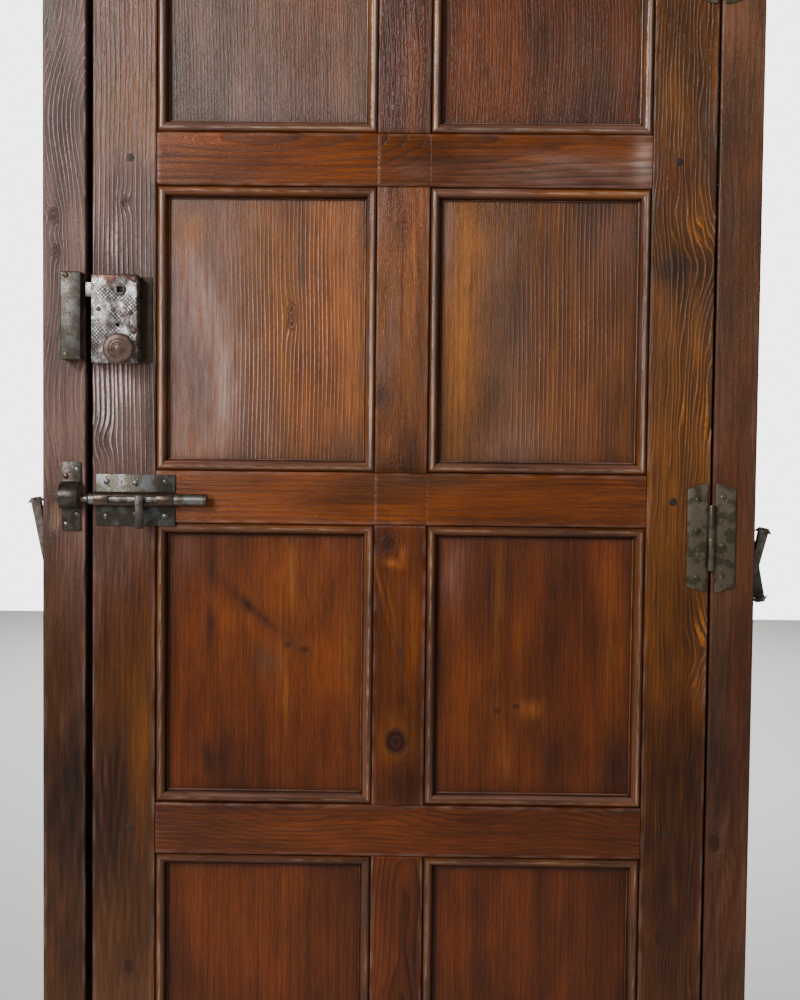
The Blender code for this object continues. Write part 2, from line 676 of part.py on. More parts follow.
def build_frame(spike_holes):
    """Build the jambs, the head they are tenoned into, and the stops behind the leaf."""
    tenon_front = (JAMB_DEPTH - JAMB_TENON_THICKNESS) / 2
    tenon_back = tenon_front + JAMB_TENON_THICKNESS
    outer_left = JAMB_LEFT - JAMB_FACE
    outer_right = JAMB_RIGHT + JAMB_FACE
    head_shape = boxes(((outer_left - HEAD_HORN, 0, HEAD_BOTTOM),
                        (outer_right + HEAD_HORN, JAMB_DEPTH, HEAD_BOTTOM + HEAD_FACE)))
    head = solid("frame_head", head_shape, JAMB_PINE)
    jambs = (("jamb_left", JAMB_LEFT, -1), ("jamb_right", JAMB_RIGHT, 1))
    for name, inner, side in jambs:
        outer = inner + side * JAMB_FACE
        jamb = solid(name, boxes(((inner, 0, 0), (outer, JAMB_DEPTH, HEAD_BOTTOM - FIT))), JAMB_PINE)
        tenon_inner = inner + side * JAMB_TENON_SHOULDER
        tenon_outer = outer - side * JAMB_TENON_SHOULDER
        tenon = boxes(((tenon_inner, tenon_front, HEAD_BOTTOM - JAMB_TENON_LENGTH),
                       (tenon_outer, tenon_back, HEAD_BOTTOM + JAMB_TENON_LENGTH)))
        weld(jamb, tool(name + "_tenon", tenon))
        cut(jamb, spike_holes[side])
        mortise = boxes(((tenon_inner - side * FIT, tenon_front - FIT, HEAD_BOTTOM - OVERRUN),
                         (tenon_outer + side * FIT, tenon_back + FIT,
                          HEAD_BOTTOM + JAMB_TENON_LENGTH + FIT)))
        cut(head, tool(name + "_mortise", mortise))
    stop_front = LEAF_THICKNESS + STOP_GAP
    stop_top = HEAD_BOTTOM - FIT
    for name, inner, side in (("stop_left", JAMB_LEFT, 1), ("stop_right", JAMB_RIGHT, -1)):
        start = inner + side * FIT
        end = inner + side * STOP_PROJECTION
        solid(name, boxes(((start, stop_front, 0), (end, JAMB_DEPTH, stop_top))), JAMB_PINE)
    head_stop = boxes(((JAMB_LEFT + STOP_PROJECTION + FIT, stop_front, stop_top - STOP_PROJECTION),
                       (JAMB_RIGHT - STOP_PROJECTION - FIT, JAMB_DEPTH, stop_top)))
    solid("stop_head", head_stop, JAMB_PINE)


# Hinges
def build_hinges(carrier):
    """Build three lift-off hinges: a leaf plate above, a jamb plate below and the pin between."""
    inner = KNUCKLE_RADIUS + KNUCKLE_GAP
    outer = inner + HINGE_PLATE_WIDTH
    half = HINGE_HEIGHT / 2
    plate_front = -(FIT + HINGE_PLATE_THICKNESS)
    pin_half = KNUCKLE_LENGTH - FIT
    bores = [((PIN_X, PIN_Y, z - half), (PIN_X, PIN_Y, z + half), HINGE_PIN_RADIUS + FIT)
             for z in HINGE_HEIGHTS.values()]
    pin_bores = tool("hinge_pin_bores", rods(HINGE_SIDES, *bores))
    for level, z in HINGE_HEIGHTS.items():
        for owner, side, upward in (("leaf", -1, 1), ("jamb", 1, -1)):
            name = f"hinge_{level}_{owner}_plate"
            near = PIN_X + side * inner
            far = PIN_X + side * outer
            shoulder = far - side * HINGE_CORNER_WIDTH
            corner = half - HINGE_CORNER_HEIGHT
            points = [(near, z - half), (near, z + half), (shoulder, z + half), (far, z + corner),
                      (far, z - corner), (shoulder, z - half)]
            plate = solid(name, front_outline(points, plate_front, -FIT), OLD_IRON,
                          carrier if owner == "leaf" else None)
            foot = z + upward * FIT / 2
            tip = z + upward * KNUCKLE_LENGTH
            knuckle = rods(HINGE_SIDES, ((PIN_X, PIN_Y, foot), (PIN_X, PIN_Y, tip), KNUCKLE_RADIUS))
            web = boxes(((near + side * KNUCKLE_WEB, plate_front + FIT, foot + upward * FIT),
                         (PIN_X + side * HINGE_PIN_RADIUS, -2 * FIT, tip - upward * FIT)))
            weld(plate, tool(name + "_web", web), tool(name + "_knuckle", knuckle))
            cut(plate, pin_bores)
        pin_ends = ((PIN_X, PIN_Y, z - pin_half), (PIN_X, PIN_Y, z + pin_half))
        pin = rods(HINGE_SIDES, (*pin_ends, HINGE_PIN_RADIUS))
        solid(f"hinge_{level}_pin", pin, BRIGHT_STEEL, smooth=True)


# Rim lock
def build_lock_screws(carrier):
    """Build the long screws through the lock, and return the shape that drills their holes."""
    x = CASE_RIGHT - CASE_SCREW_EDGE
    seat = -CASE_FRONT + FIT
    length = seat + SCREW_GRIP
    profile = [(0.0, SCREW_HEAD_HEIGHT), (SCREW_CROWN_RADIUS, SCREW_CROWN_HEIGHT),
               (SCREW_HEAD_RADIUS, SCREW_RIM_HEIGHT), (SCREW_HEAD_RADIUS, 0.0), (SCREW_SHANK_RADIUS, 0.0),
               (SCREW_SHANK_RADIUS, -length), (0.0, -length)]
    holes = []
    for name, rise in CASE_SCREWS:
        z = LOCK_Z + rise
        shape = turned(profile, SCREW_SIDES)
        shape.transform(facing_front(x, -seat, z))
        solid(name, shape, BRIGHT_STEEL, carrier, smooth=True)
        holes.append(((x, -seat - OVERRUN, z), (x, SCREW_GRIP + FIT, z), SCREW_SHANK_RADIUS + FIT))
    return tool("lock_screw_holes", rods(SCREW_SIDES, *holes))


def build_lock_box(carrier, screw_holes):
    """Build the lock's back plate and its case."""
    half = CASE_HEIGHT / 2
    plate_half = half - LOCK_PLATE_MARGIN
    plate = solid("lock_back_plate", boxes(((LOCK_LEFT, LOCK_PLATE_FRONT, LOCK_Z - plate_half),
                                            (LOCK_LEFT + LOCK_PLATE_WIDTH, -FIT, LOCK_Z + plate_half))),
                  OLD_IRON, carrier)
    body = boxes(((LOCK_LEFT, CASE_FRONT, LOCK_Z - half), (CASE_RIGHT, CASE_BACK, LOCK_Z + half)))
    case = solid("lock_case", body, GREY_STEEL, carrier)
    round_edges(case, CASE_ROUND)
    hollow = boxes(((LOCK_LEFT + CASE_WALL, CASE_INNER_FRONT, LOCK_Z - half + CASE_WALL),
                    (CASE_RIGHT - CASE_WALL, CASE_BACK + OVERRUN, LOCK_Z + half - CASE_WALL)))
    latch_half = LATCH_HEIGHT / 2 + RUN
    bolt_low, bolt_high = dead_bolt_heights()
    mouths = boxes(((LOCK_LEFT - OVERRUN, ARM_FRONT - FIT, HUB_Z - latch_half),
                    (LOCK_LEFT + OVERRUN, ARM_FRONT + LATCH_THICKNESS + RUN, HUB_Z + latch_half)),
                   ((LOCK_LEFT - OVERRUN, TAIL_FRONT - RUN, bolt_low - RUN),
                    (LOCK_LEFT + OVERRUN, DEAD_BOLT_BACK + RUN, bolt_high + RUN)))
    front = CASE_FRONT - OVERRUN
    back = OVERRUN
    bearings = rods(KNOB_SIDES // 2,
                    ((SPINDLE_X, front, HUB_Z), (SPINDLE_X, back, HUB_Z), HUB_RADIUS + FIT),
                    ((SPINDLE_X, front, KNOB_Z), (SPINDLE_X, back, KNOB_Z), KNOB_SPINDLE_RADIUS + FIT))
    bearing_tool = tool("lock_bearings", bearings)
    key_x = LOCK_LEFT + KEYHOLE[0]
    key_z = LOCK_Z + KEYHOLE[1]
    key_end = (key_x, CASE_INNER_FRONT + CASE_WALL, key_z)
    key = rods(SCREW_SIDES, ((key_x, front, key_z), key_end, KEYHOLE_RADIUS))
    cut(case, tool("case_hollow", hollow), tool("bolt_mouths", mouths), bearing_tool, tool("keyhole", key),
        screw_holes)
    cut(plate, bearing_tool, screw_holes)


def build_hub(carrier):
    """Build the follower that the handle's square spindle turns, with the arm that draws the latch."""
    axis = axis_empty("hub_axis", (SPINDLE_X, CASE_FRONT, HUB_Z), carrier)
    hub = solid("lock_hub", rods(KNOB_SIDES // 2, ((SPINDLE_X, CASE_FRONT - HUB_PROUD, HUB_Z),
                                                   (SPINDLE_X, -FIT, HUB_Z), HUB_RADIUS)),
                BRIGHT_STEEL, axis, (SPINDLE_X, CASE_FRONT, HUB_Z), smooth=True)
    half = ARM_WIDTH / 2
    arm = boxes(((SPINDLE_X - half, ARM_FRONT, HUB_Z - HUB_ARM_REACH - ARM_OVERHANG),
                 (SPINDLE_X + half, ARM_BACK, HUB_Z)))
    pin_z = HUB_Z - HUB_ARM_REACH
    pin_end = (SPINDLE_X, TAIL_BACK + FIT, pin_z)
    pin = rods(SCREW_SIDES, ((SPINDLE_X, ARM_FRONT + FIT, pin_z), pin_end, ARM_PIN_RADIUS))
    weld(hub, tool("hub_arm", arm), tool("hub_arm_pin", pin))
    socket = HUB_SOCKET / 2
    square = boxes(((SPINDLE_X - socket, CASE_FRONT - OVERRUN, HUB_Z - socket),
                    (SPINDLE_X + socket, OVERRUN, HUB_Z + socket)))
    cut(hub, tool("hub_socket", square))


def build_latch(carrier):
    """Build the latch bolt with its notched tail, and the spring behind it."""
    tip = LOCK_LEFT - LATCH_OUT
    block_right = SPINDLE_X - HUB_RADIUS - LATCH_TRAVEL_IN - 2 * RUN
    block_back = ARM_FRONT + LATCH_THICKNESS
    points = [(tip, ARM_FRONT), (block_right, ARM_FRONT), (block_right, block_back),
              (tip + LATCH_BEVEL, block_back), (tip, ARM_FRONT + LATCH_NOSE)]
    shape = outline(points, LATCH_HEIGHT)
    shape.transform(Matrix.Translation((0, 0, HUB_Z)))
    latch = solid("latch_bolt", shape, BRIGHT_STEEL, carrier)
    tail_top = HUB_Z - HUB_RADIUS - 2 * RUN
    tail_bottom = tail_top - TAIL_HEIGHT
    tail_right = SPINDLE_X + TAIL_REACH
    plate_left = LOCK_LEFT + CASE_WALL + LATCH_TRAVEL_OUT + 2 * RUN
    notch_bottom = HUB_Z - HUB_ARM_REACH - NOTCH_HALF
    inside = HUB_Z + LATCH_HEIGHT / 2 - RUN
    points = [(plate_left, tail_bottom), (tail_right, tail_bottom), (tail_right, tail_top),
              (SPINDLE_X + NOTCH_HALF, tail_top), (SPINDLE_X + NOTCH_HALF, notch_bottom),
              (SPINDLE_X - NOTCH_HALF, notch_bottom), (SPINDLE_X - NOTCH_HALF, tail_top),
              (block_right - RUN, tail_top), (block_right - RUN, inside), (plate_left, inside)]
    weld(latch, tool("latch_tail", front_outline(points, TAIL_FRONT, TAIL_BACK)))
    build_latch_spring(carrier, tail_right, (tail_top + tail_bottom) / 2)


def build_latch_spring(carrier, tail_right, height):
    """Build the coil spring between the latch's tail and the side of the case."""
    start = tail_right + SPRING_WIRE + FIT
    length = CASE_RIGHT - CASE_WALL - SPRING_WIRE - FIT - start
    count = SPRING_TURNS * SPRING_POINTS + 1
    curve = bpy.data.curves.new("coil", "CURVE")
    curve.dimensions = "3D"
    curve.bevel_depth = SPRING_WIRE
    curve.bevel_resolution = 1
    curve.use_fill_caps = True
    spline = curve.splines.new("POLY")
    spline.points.add(count - 1)
    for index, point in enumerate(spline.points):
        turn = 2 * math.pi * index / SPRING_POINTS
        along = start + length * index / (count - 1)
        point.co = (along, (TAIL_FRONT + TAIL_BACK) / 2 + SPRING_RADIUS * math.sin(turn),
                    height + SPRING_RADIUS * math.cos(turn), 1.0)
    coil = shape_of(bpy.data.objects.new("coil", curve))
    solid("latch_spring", coil, BRIGHT_STEEL, carrier, smooth=True)


def dead_bolt_heights():
    """Return the lower and upper edge of the dead bolt, set by the crank's pin."""
    low = KNOB_Z + CRANK_REACH * math.cos(CRANK_ANGLE) - ARM_PIN_RADIUS
    return low, low + DEAD_BOLT_HEIGHT


def build_dead_bolt(carrier):
    """Build the dead bolt, drawn back inside the case, with the notch that the crank's pin works in."""
    low, high = dead_bolt_heights()
    pin_x = SPINDLE_X + CRANK_REACH * math.sin(CRANK_ANGLE)
    notch_top = KNOB_Z + CRANK_REACH + NOTCH_HALF
    left = LOCK_LEFT + DEAD_BOLT_RECESS
    right = pin_x + DEAD_BOLT_TAIL
    points = [(left, low), (pin_x - NOTCH_HALF, low), (pin_x - NOTCH_HALF, notch_top),
              (pin_x + NOTCH_HALF, notch_top), (pin_x + NOTCH_HALF, low), (right, low), (right, high),
              (left, high)]
    solid("dead_bolt", front_outline(points, TAIL_FRONT, DEAD_BOLT_BACK), BRIGHT_STEEL, carrier)


def build_knob(carrier):
    """Build the turned knob, and the spindle whose crank throws the dead bolt."""
    centre = Vector((SPINDLE_X, CASE_FRONT, KNOB_Z))
    axis = axis_empty("knob_axis", centre, carrier)
    base = FIT
    face = base + KNOB_THICKNESS
    rim = face - KNOB_NECK
    profile = [(0.0, face), (KNOB_BOSS_RADIUS, face), (KNOB_BOSS_RADIUS, face - KNOB_RING_DEPTH),
               (KNOB_RING_RADIUS, face - KNOB_RING_DEPTH), (KNOB_RING_RADIUS + KNOB_RING_DEPTH, face - FIT),
               (KNOB_RADIUS - KNOB_RING_DEPTH, rim + KNOB_RING_DEPTH), (KNOB_RADIUS, rim),
               (KNOB_RADIUS, base + KNOB_NECK + KNOB_RING_DEPTH),
               (KNOB_RADIUS - KNOB_RING_DEPTH, base + KNOB_NECK), (KNOB_NECK_RADIUS, base + KNOB_NECK),
               (KNOB_NECK_RADIUS, base), (0.0, base)]
    shape = turned(profile, KNOB_SIDES)
    shape.transform(facing_front(*centre))
    knob = solid("lock_knob", shape, BROWN_METAL, axis, centre, smooth=True)
    spindle_front = CASE_FRONT - FIT - KNOB_SPINDLE_BITE
    bore = rods(HINGE_SIDES, ((SPINDLE_X, spindle_front - FIT, KNOB_Z), (SPINDLE_X, OVERRUN, KNOB_Z),
                              KNOB_SPINDLE_RADIUS + FIT))
    cut(knob, tool("knob_bore", bore))
    bar = rods(HINGE_SIDES, ((SPINDLE_X, spindle_front, KNOB_Z), (SPINDLE_X, -FIT, KNOB_Z),
                             KNOB_SPINDLE_RADIUS))
    spindle = solid("knob_spindle", bar, BRIGHT_STEEL, axis, centre, smooth=True)
    half = ARM_WIDTH / 2
    arm = boxes(((-half, ARM_FRONT, 0), (half, ARM_BACK, CRANK_REACH + ARM_OVERHANG)))
    arm.transform(Matrix.Translation((SPINDLE_X, 0, KNOB_Z)) @ Matrix.Rotation(CRANK_ANGLE, 4, "Y"))
    pin_x = SPINDLE_X + CRANK_REACH * math.sin(CRANK_ANGLE)
    pin_z = KNOB_Z + CRANK_REACH * math.cos(CRANK_ANGLE)
    pin_end = (pin_x, DEAD_BOLT_BACK - FIT, pin_z)
    pin = rods(SCREW_SIDES, ((pin_x, ARM_FRONT + FIT, pin_z), pin_end, ARM_PIN_RADIUS))
    weld(spindle, tool("crank_arm", arm), tool("crank_pin", pin))


def build_lock_keeper():
    """Build the cast keeper on the jamb, hollow where the two bolts enter."""
    half = KEEPER_HEIGHT / 2
    left = JAMB_LEFT - KEEPER_WIDTH
    front = -(FIT + KEEPER_DEPTH)
    body = boxes(((left, front, KEEPER_Z - half), (JAMB_LEFT, -FIT, KEEPER_Z + half)))
    keeper = solid("lock_keeper", body, GREY_STEEL)
    round_edges(keeper, KEEPER_ROUND)
    pocket = boxes(((JAMB_LEFT - KEEPER_POCKET, front + KEEPER_WALL, KEEPER_Z - half + KEEPER_WALL),
                    (JAMB_LEFT + OVERRUN, OVERRUN, KEEPER_Z + half - KEEPER_WALL)))
    cut(keeper, tool("keeper_pocket", pocket))


# Slide bolt
def build_bolt_plate(carrier):
    """Build the plate with its slotted barrel."""
    half = BOLT_PLATE_HEIGHT / 2
    plate = solid("bolt_plate", boxes(((BOLT_PLATE_LEFT, BOLT_PLATE_FRONT, BOLT_PLATE_Z - half),
                                       (BOLT_PLATE_RIGHT, -FIT, BOLT_PLATE_Z + half))), GREY_STEEL, carrier)
    barrel = rods(BARREL_SIDES, ((BOLT_PLATE_LEFT, BOLT_Y, BOLT_Z), (BOLT_PLATE_RIGHT, BOLT_Y, BOLT_Z),
                                 BARREL_RADIUS))
    weld(plate, tool("bolt_barrel", barrel))
    bore_left = (BOLT_PLATE_LEFT - OVERRUN, BOLT_Y, BOLT_Z)
    bore_right = (BOLT_PLATE_RIGHT + OVERRUN, BOLT_Y, BOLT_Z)
    bore = rods(BARREL_SIDES, (bore_left, bore_right, BARREL_BORE))
    slot_left = BOLT_PLATE_LEFT + SLOT_START
    slot = boxes(((slot_left, BOLT_Y - BARREL_RADIUS - OVERRUN, BOLT_Z - SLOT_HEIGHT / 2),
                  (slot_left + SLOT_LENGTH, BOLT_Y, BOLT_Z + SLOT_HEIGHT / 2)))
    cut(plate, tool("barrel_bore", bore), tool("barrel_slot", slot))


def build_bolt_rod(carrier):
    """Build the sliding rod, drawn back just clear of its keeper, and the handle screwed into it."""
    axis = axis_empty("bolt_axis", (STEM_X, BOLT_Y, BOLT_Z), carrier)
    right = BOLT_TIP_X + BOLT_ROD_LENGTH
    shoulder = BOLT_TIP_X + BOLT_TIP_LENGTH
    chamfer = BOLT_ROD_RADIUS - BOLT_TIP_RADIUS
    profile = [(0.0, right), (BOLT_ROD_RADIUS - RUN, right), (BOLT_ROD_RADIUS, right - RUN),
               (BOLT_ROD_RADIUS, shoulder + chamfer), (BOLT_TIP_RADIUS, shoulder),
               (BOLT_TIP_RADIUS, BOLT_TIP_X + RUN), (BOLT_TIP_RADIUS - RUN, BOLT_TIP_X), (0.0, BOLT_TIP_X)]
    shape = turned(profile, BARREL_SIDES)
    shape.transform(Matrix.Translation((0, BOLT_Y, BOLT_Z)) @ Matrix.Rotation(math.radians(90), 4, "Y"))
    rod = solid("bolt_rod", shape, BRIGHT_STEEL, axis, (STEM_X, BOLT_Y, BOLT_Z), smooth=True)
    handle_back = BOLT_Y - BARREL_RADIUS - HANDLE_GAP
    handle_front = handle_back - HANDLE_THICKNESS
    seat = BOLT_Y - BOLT_ROD_RADIUS + STEM_SEAT
    half = HANDLE_WIDTH / 2
    tab = boxes(((STEM_X - half, handle_front, BOLT_Z - HANDLE_DROP),
                 (STEM_X + half, handle_back, BOLT_Z + HANDLE_RISE)))
    handle = solid("bolt_handle", tab, GREY_STEEL, axis)
    round_edges(handle, HANDLE_ROUND)
    stem_start = (STEM_X, handle_back - HANDLE_THICKNESS / 2, BOLT_Z)
    stem = rods(HINGE_SIDES, (stem_start, (STEM_X, seat, BOLT_Z), STEM_RADIUS))
    weld(handle, tool("handle_stem", stem))
    hole_end = (STEM_X, seat + FIT, BOLT_Z)
    hole = rods(HINGE_SIDES, ((STEM_X, handle_front, BOLT_Z), hole_end, STEM_RADIUS + FIT))
    cut(rod, tool("stem_hole", hole))


def strap_outline():
    """Return the bolt keeper's side view, in depth and height: two flat feet and an arch between them."""
    back = -FIT
    front = back - STRAP_THICKNESS
    points = [(back, STRAP_Z + STRAP_TOP), (front, STRAP_Z + STRAP_TOP)]
    inner_span = STRAP_HALF_SPAN - STRAP_THICKNESS
    inner_crest = STRAP_CREST - STRAP_THICKNESS
    arcs = ((STRAP_HALF_SPAN, STRAP_CREST, front, range(STRAP_STEPS + 1)),
            (inner_span, inner_crest, back, range(STRAP_STEPS, -1, -1)))
    for span, crest, foot, steps in arcs:
        if foot == back:
            points += [(front, STRAP_Z - STRAP_FOOT), (back, STRAP_Z - STRAP_FOOT)]
        for step in steps:
            turn = math.pi * step / STRAP_STEPS
            depth = foot + (-crest - foot) * math.sin(turn)
            points.append((depth, STRAP_Z + span * math.cos(turn)))
    return points


def build_bolt_keeper():
    """Build the strap on the jamb that the slide bolt shoots through."""
    shape = outline(strap_outline(), STRAP_WIDTH)
    turn = Matrix(((0, 0, 1, (STRAP_LEFT + STRAP_RIGHT) / 2), (1, 0, 0, 0), (0, 1, 0, 0), (0, 0, 0, 1)))
    shape.transform(turn)
    solid("bolt_keeper", shape, GREY_STEEL)


def build_door():
    """Build the frame, hang the leaf in it and fit the ironwork."""
    leaf = axis_empty("leaf_swing_axis", (PIN_X, PIN_Y, 0))
    screw_holes = build_lock_screws(leaf)
    build_frame(build_spikes())
    build_stiles(leaf, screw_holes)
    build_rails(leaf)
    build_muntins(leaf)
    build_panels(leaf)
    build_mouldings(leaf)
    build_hinges(leaf)
    build_lock_box(leaf, screw_holes)
    build_hub(leaf)
    build_latch(leaf)
    build_dead_bolt(leaf)
    build_knob(leaf)
    build_lock_keeper()
    build_bolt_plate(leaf)
    build_bolt_rod(leaf)
    build_bolt_keeper()


build_door()
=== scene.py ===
"""Dress a panelled pine door: worn boards, planted mouldings and old ironwork, in a plain studio.

Metres, +Z up. X runs from the lock side to the hinge side, and -Y faces the room that the leaf opens
into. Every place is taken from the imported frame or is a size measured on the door.
"""

import json
import logging
import math
from dataclasses import dataclass, field, replace
from enum import Enum
from typing import Any, Iterator, Optional, Sequence

import bmesh
import bpy
import numpy as np
from mathutils import Matrix, Vector

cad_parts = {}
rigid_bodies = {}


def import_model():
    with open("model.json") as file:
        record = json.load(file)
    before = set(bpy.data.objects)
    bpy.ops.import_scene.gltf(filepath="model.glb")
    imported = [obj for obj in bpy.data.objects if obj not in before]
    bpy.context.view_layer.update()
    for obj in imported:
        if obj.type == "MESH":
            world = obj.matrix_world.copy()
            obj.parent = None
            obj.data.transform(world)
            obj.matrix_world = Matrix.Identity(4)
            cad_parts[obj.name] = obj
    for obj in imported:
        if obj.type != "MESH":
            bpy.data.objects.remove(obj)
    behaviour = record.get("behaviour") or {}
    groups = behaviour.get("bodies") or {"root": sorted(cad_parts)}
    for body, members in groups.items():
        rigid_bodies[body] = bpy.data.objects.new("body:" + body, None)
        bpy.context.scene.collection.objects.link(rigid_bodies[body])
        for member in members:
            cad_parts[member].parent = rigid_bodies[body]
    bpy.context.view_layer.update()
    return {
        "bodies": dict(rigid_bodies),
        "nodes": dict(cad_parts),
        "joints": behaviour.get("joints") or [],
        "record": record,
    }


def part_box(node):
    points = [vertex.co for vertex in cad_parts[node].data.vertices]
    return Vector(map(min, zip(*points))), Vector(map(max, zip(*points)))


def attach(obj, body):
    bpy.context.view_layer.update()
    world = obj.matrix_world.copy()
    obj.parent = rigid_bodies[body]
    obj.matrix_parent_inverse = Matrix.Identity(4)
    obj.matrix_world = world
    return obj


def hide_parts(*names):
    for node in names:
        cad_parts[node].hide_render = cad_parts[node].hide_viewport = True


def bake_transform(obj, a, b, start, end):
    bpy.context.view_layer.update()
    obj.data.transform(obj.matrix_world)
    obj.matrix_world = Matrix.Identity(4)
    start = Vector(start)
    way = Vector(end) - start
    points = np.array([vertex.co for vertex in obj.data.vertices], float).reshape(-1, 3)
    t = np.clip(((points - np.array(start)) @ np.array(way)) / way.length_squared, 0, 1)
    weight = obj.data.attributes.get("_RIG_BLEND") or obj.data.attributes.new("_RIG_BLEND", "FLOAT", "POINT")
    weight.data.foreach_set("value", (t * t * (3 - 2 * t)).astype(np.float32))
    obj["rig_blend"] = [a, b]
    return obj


LOG = logging.getLogger("door")
TURN = 2.0 * math.pi
RIGHT_ANGLE = 90.0
HINGE_LEVELS = ("top", "middle", "bottom")
WAVE_COUNT = 12
WAVE_PACES = (0.5, 1.7)
DARKEST = 0.002
PALEST = 0.9
WHITE = (1.0, 1.0, 1.0, 1.0)

Array = np.ndarray
Pair = tuple[float, float]
Colour = tuple[float, float, float]
Place = tuple[float, float, float]
Span = tuple[float, float, float, float]
Head = tuple[float, float, float, float]
Names = tuple[str, ...]
Seeds = tuple[int, ...]
Solid = tuple[Array, list[list[int]]]
Socket = bpy.types.NodeSocket
Piece = bpy.types.Object
Mesh = bpy.types.Mesh
Material = bpy.types.Material


class Pine(Enum):
    """Linear base colours of varnished pine as it ages; mauve and worn also stand in part for painted sheen,
    dark for painted shade, and the bare colour for a painted highlight.
    """

    AMBER = (0.560, 0.155, 0.024)
    GOLDEN = (0.400, 0.132, 0.013)
    ORANGE = (0.285, 0.067, 0.0065)
    RUSSET = (0.185, 0.038, 0.005)
    MAUVE = (0.330, 0.165, 0.125)
    GREY = (0.190, 0.088, 0.046)
    OLIVE = (0.240, 0.074, 0.008)
    DARK = (0.036, 0.012, 0.005)
    WORN = (0.560, 0.390, 0.330)
    RAW = (0.540, 0.310, 0.180)
    BARE_AND_HIGHLIGHT = (0.800, 0.600, 0.480)


AMBER, GOLDEN, ORANGE, RUSSET, MAUVE, GREY, OLIVE, DARK, WORN, RAW, BARE_AND_HIGHLIGHT = Pine


class Grain(Enum):
    """Which way a board's fibres run, as (axis across, axis along)."""

    UPRIGHT = (0, 2)
    LEVEL = (2, 0)


class Sway(Enum):
    """Kinds of unevenness: seed offset, wavelength across and along the grain, middle and swing."""

    HOLLOW = (3, 0.035, 0.22, 0.5, 0.5)
    CHATTER = (4, 0.05, 0.3, 0.0, 0.4)
    DRIFT = (6, 0.035, 0.35, 0.0, 0.16)
    RAGGED = (7, 0.012, 0.09, 0.0, 1.0)
    CHIP_RIM = (8, 0.008, 0.012, 0.0, 0.18)
    CHIP_FLOOR = (9, 0.003, 0.015, 1.0, 0.35)
    RUBBED = (10, 0.01, 0.06, 0.6, 0.9)
    NARROW = (12, 0.009, 0.30, 0.0, 0.14)
    DIRT_AND_SHADE = (13, 0.006, 0.02, 0.0, 0.0016)
    WORN = (14, 0.03, 0.12, 1.0, 0.25)
    FIGURED = (15, 0.045, 0.20, 0.5, 0.8)


# Noise and blending
def waves(seed: int, first: Array, second: Array) -> Array:
    """Return smooth seeded noise.

    Args:
        seed: Picks the waves.
        first: First coordinate, in wavelengths.
        second: Second coordinate, in wavelengths.

    Returns:
        Values mostly between -1 and 1.
    """
    rng = np.random.default_rng(seed)
    total = np.zeros(np.broadcast(first, second).shape)
    for _ in range(WAVE_COUNT):
        heading = rng.uniform(0.0, TURN)
        pace = rng.uniform(*WAVE_PACES)
        phase = rng.uniform(0.0, TURN)
        total += np.sin(TURN * pace * (first * math.cos(heading) + second * math.sin(heading)) + phase)
    return total / math.sqrt(2.0 * WAVE_COUNT)


def sloped(line: Pair, value: Array) -> Array:
    """Return a line's start plus its slope times a value."""
    return line[0] + line[1] * value


def step_between(low: float, high: float, value: Array) -> Array:
    """Return 0 below low, 1 above high and a smooth rise between them."""
    share = np.clip((value - low) / (high - low), 0.0, 1.0)
    return share * share * (3.0 - 2.0 * share)


def bell(middle: float, reach: float, value: Array) -> Array:
    """Return 1 at the middle, fading out beyond the reach."""
    return np.exp(-((value - middle) / reach) ** 2)


def blend_colour(base: Array, pine: Pine, amount: Array) -> Array:
    """Return rows of colour moved towards one colour by an amount for each row."""
    return base + (np.array(pine.value) - base) * amount[:, None]


# Meshes
def closed_sweep(rings: Array) -> Solid:
    """Close a row of equal rings into one solid with fans at both ends.

    Args:
        rings: Points as (station, point, axis).

    Returns:
        The vertices, and the faces pointing outwards.
    """
    stations, count, _ = rings.shape
    body = rings.reshape(-1, 3)
    verts = np.vstack([body, rings[0].mean(axis=0), rings[-1].mean(axis=0)])
    index = np.arange(stations * count).reshape(stations, count)
    after = np.roll(index, -1, axis=1)
    quads = np.stack([index[:-1], after[:-1], after[1:], index[1:]], axis=-1).reshape(-1, 4)
    start, end = len(body), len(body) + 1
    first_fan = np.stack([after[0], index[0], np.full(count, start)], axis=-1)
    last_fan = np.stack([index[-1], after[-1], np.full(count, end)], axis=-1)
    triangles = np.vstack([quads[:, [0, 1, 2]], quads[:, [0, 2, 3]], first_fan, last_fan])
    corners = verts[triangles] - verts.mean(axis=0)
    volume = np.einsum("ij,ij->i", corners[:, 0], np.cross(corners[:, 1], corners[:, 2])).sum()
    faces = quads.tolist() + first_fan.tolist() + last_fan.tolist()
    if volume < 0:
        faces = [face[::-1] for face in faces]
    return verts, faces


def place_object(name: str, mesh: Mesh) -> Piece:
    """Link a mesh to the scene.

    Args:
        name: The object's name.
        mesh: Its mesh.

    Returns:
        The object, at the origin.
    """
    obj = bpy.data.objects.new(name, mesh)
    bpy.context.scene.collection.objects.link(obj)
    return obj


def place_solids(name: str, parts: Sequence[Solid]) -> Piece:
    """Make one object from one or more closed solids.

    Args:
        name: The object's name.
        parts: Vertices and faces of each solid.

    Returns:
        The object, at the origin.
    """
    verts: list[Array] = []
    faces: list[list[int]] = []
    count = 0
    for points, part_faces in parts:
        verts.append(points)
        faces += [[corner + count for corner in face] for face in part_faces]
        count += len(points)
    mesh = bpy.data.meshes.new(name)
    mesh.from_pydata(np.vstack(verts).tolist(), [], faces)
    return place_object(name, mesh)


def place_shape(name: str, shape: bmesh.types.BMesh) -> Piece:
    """Make an object from a finished shape.

    Args:
        name: The object's name.
        shape: The shape, which is freed.

    Returns:
        The object, at the origin.
    """
    mesh = bpy.data.meshes.new(name)
    shape.to_mesh(mesh)
    shape.free()
    return place_object(name, mesh)


def smooth(mesh: Mesh, degrees: float) -> None:
    """Shade a mesh smooth, with edges sharper than an angle kept crisp."""
    mesh.shade_smooth()
    mesh.set_sharp_from_angle(angle=math.radians(degrees))


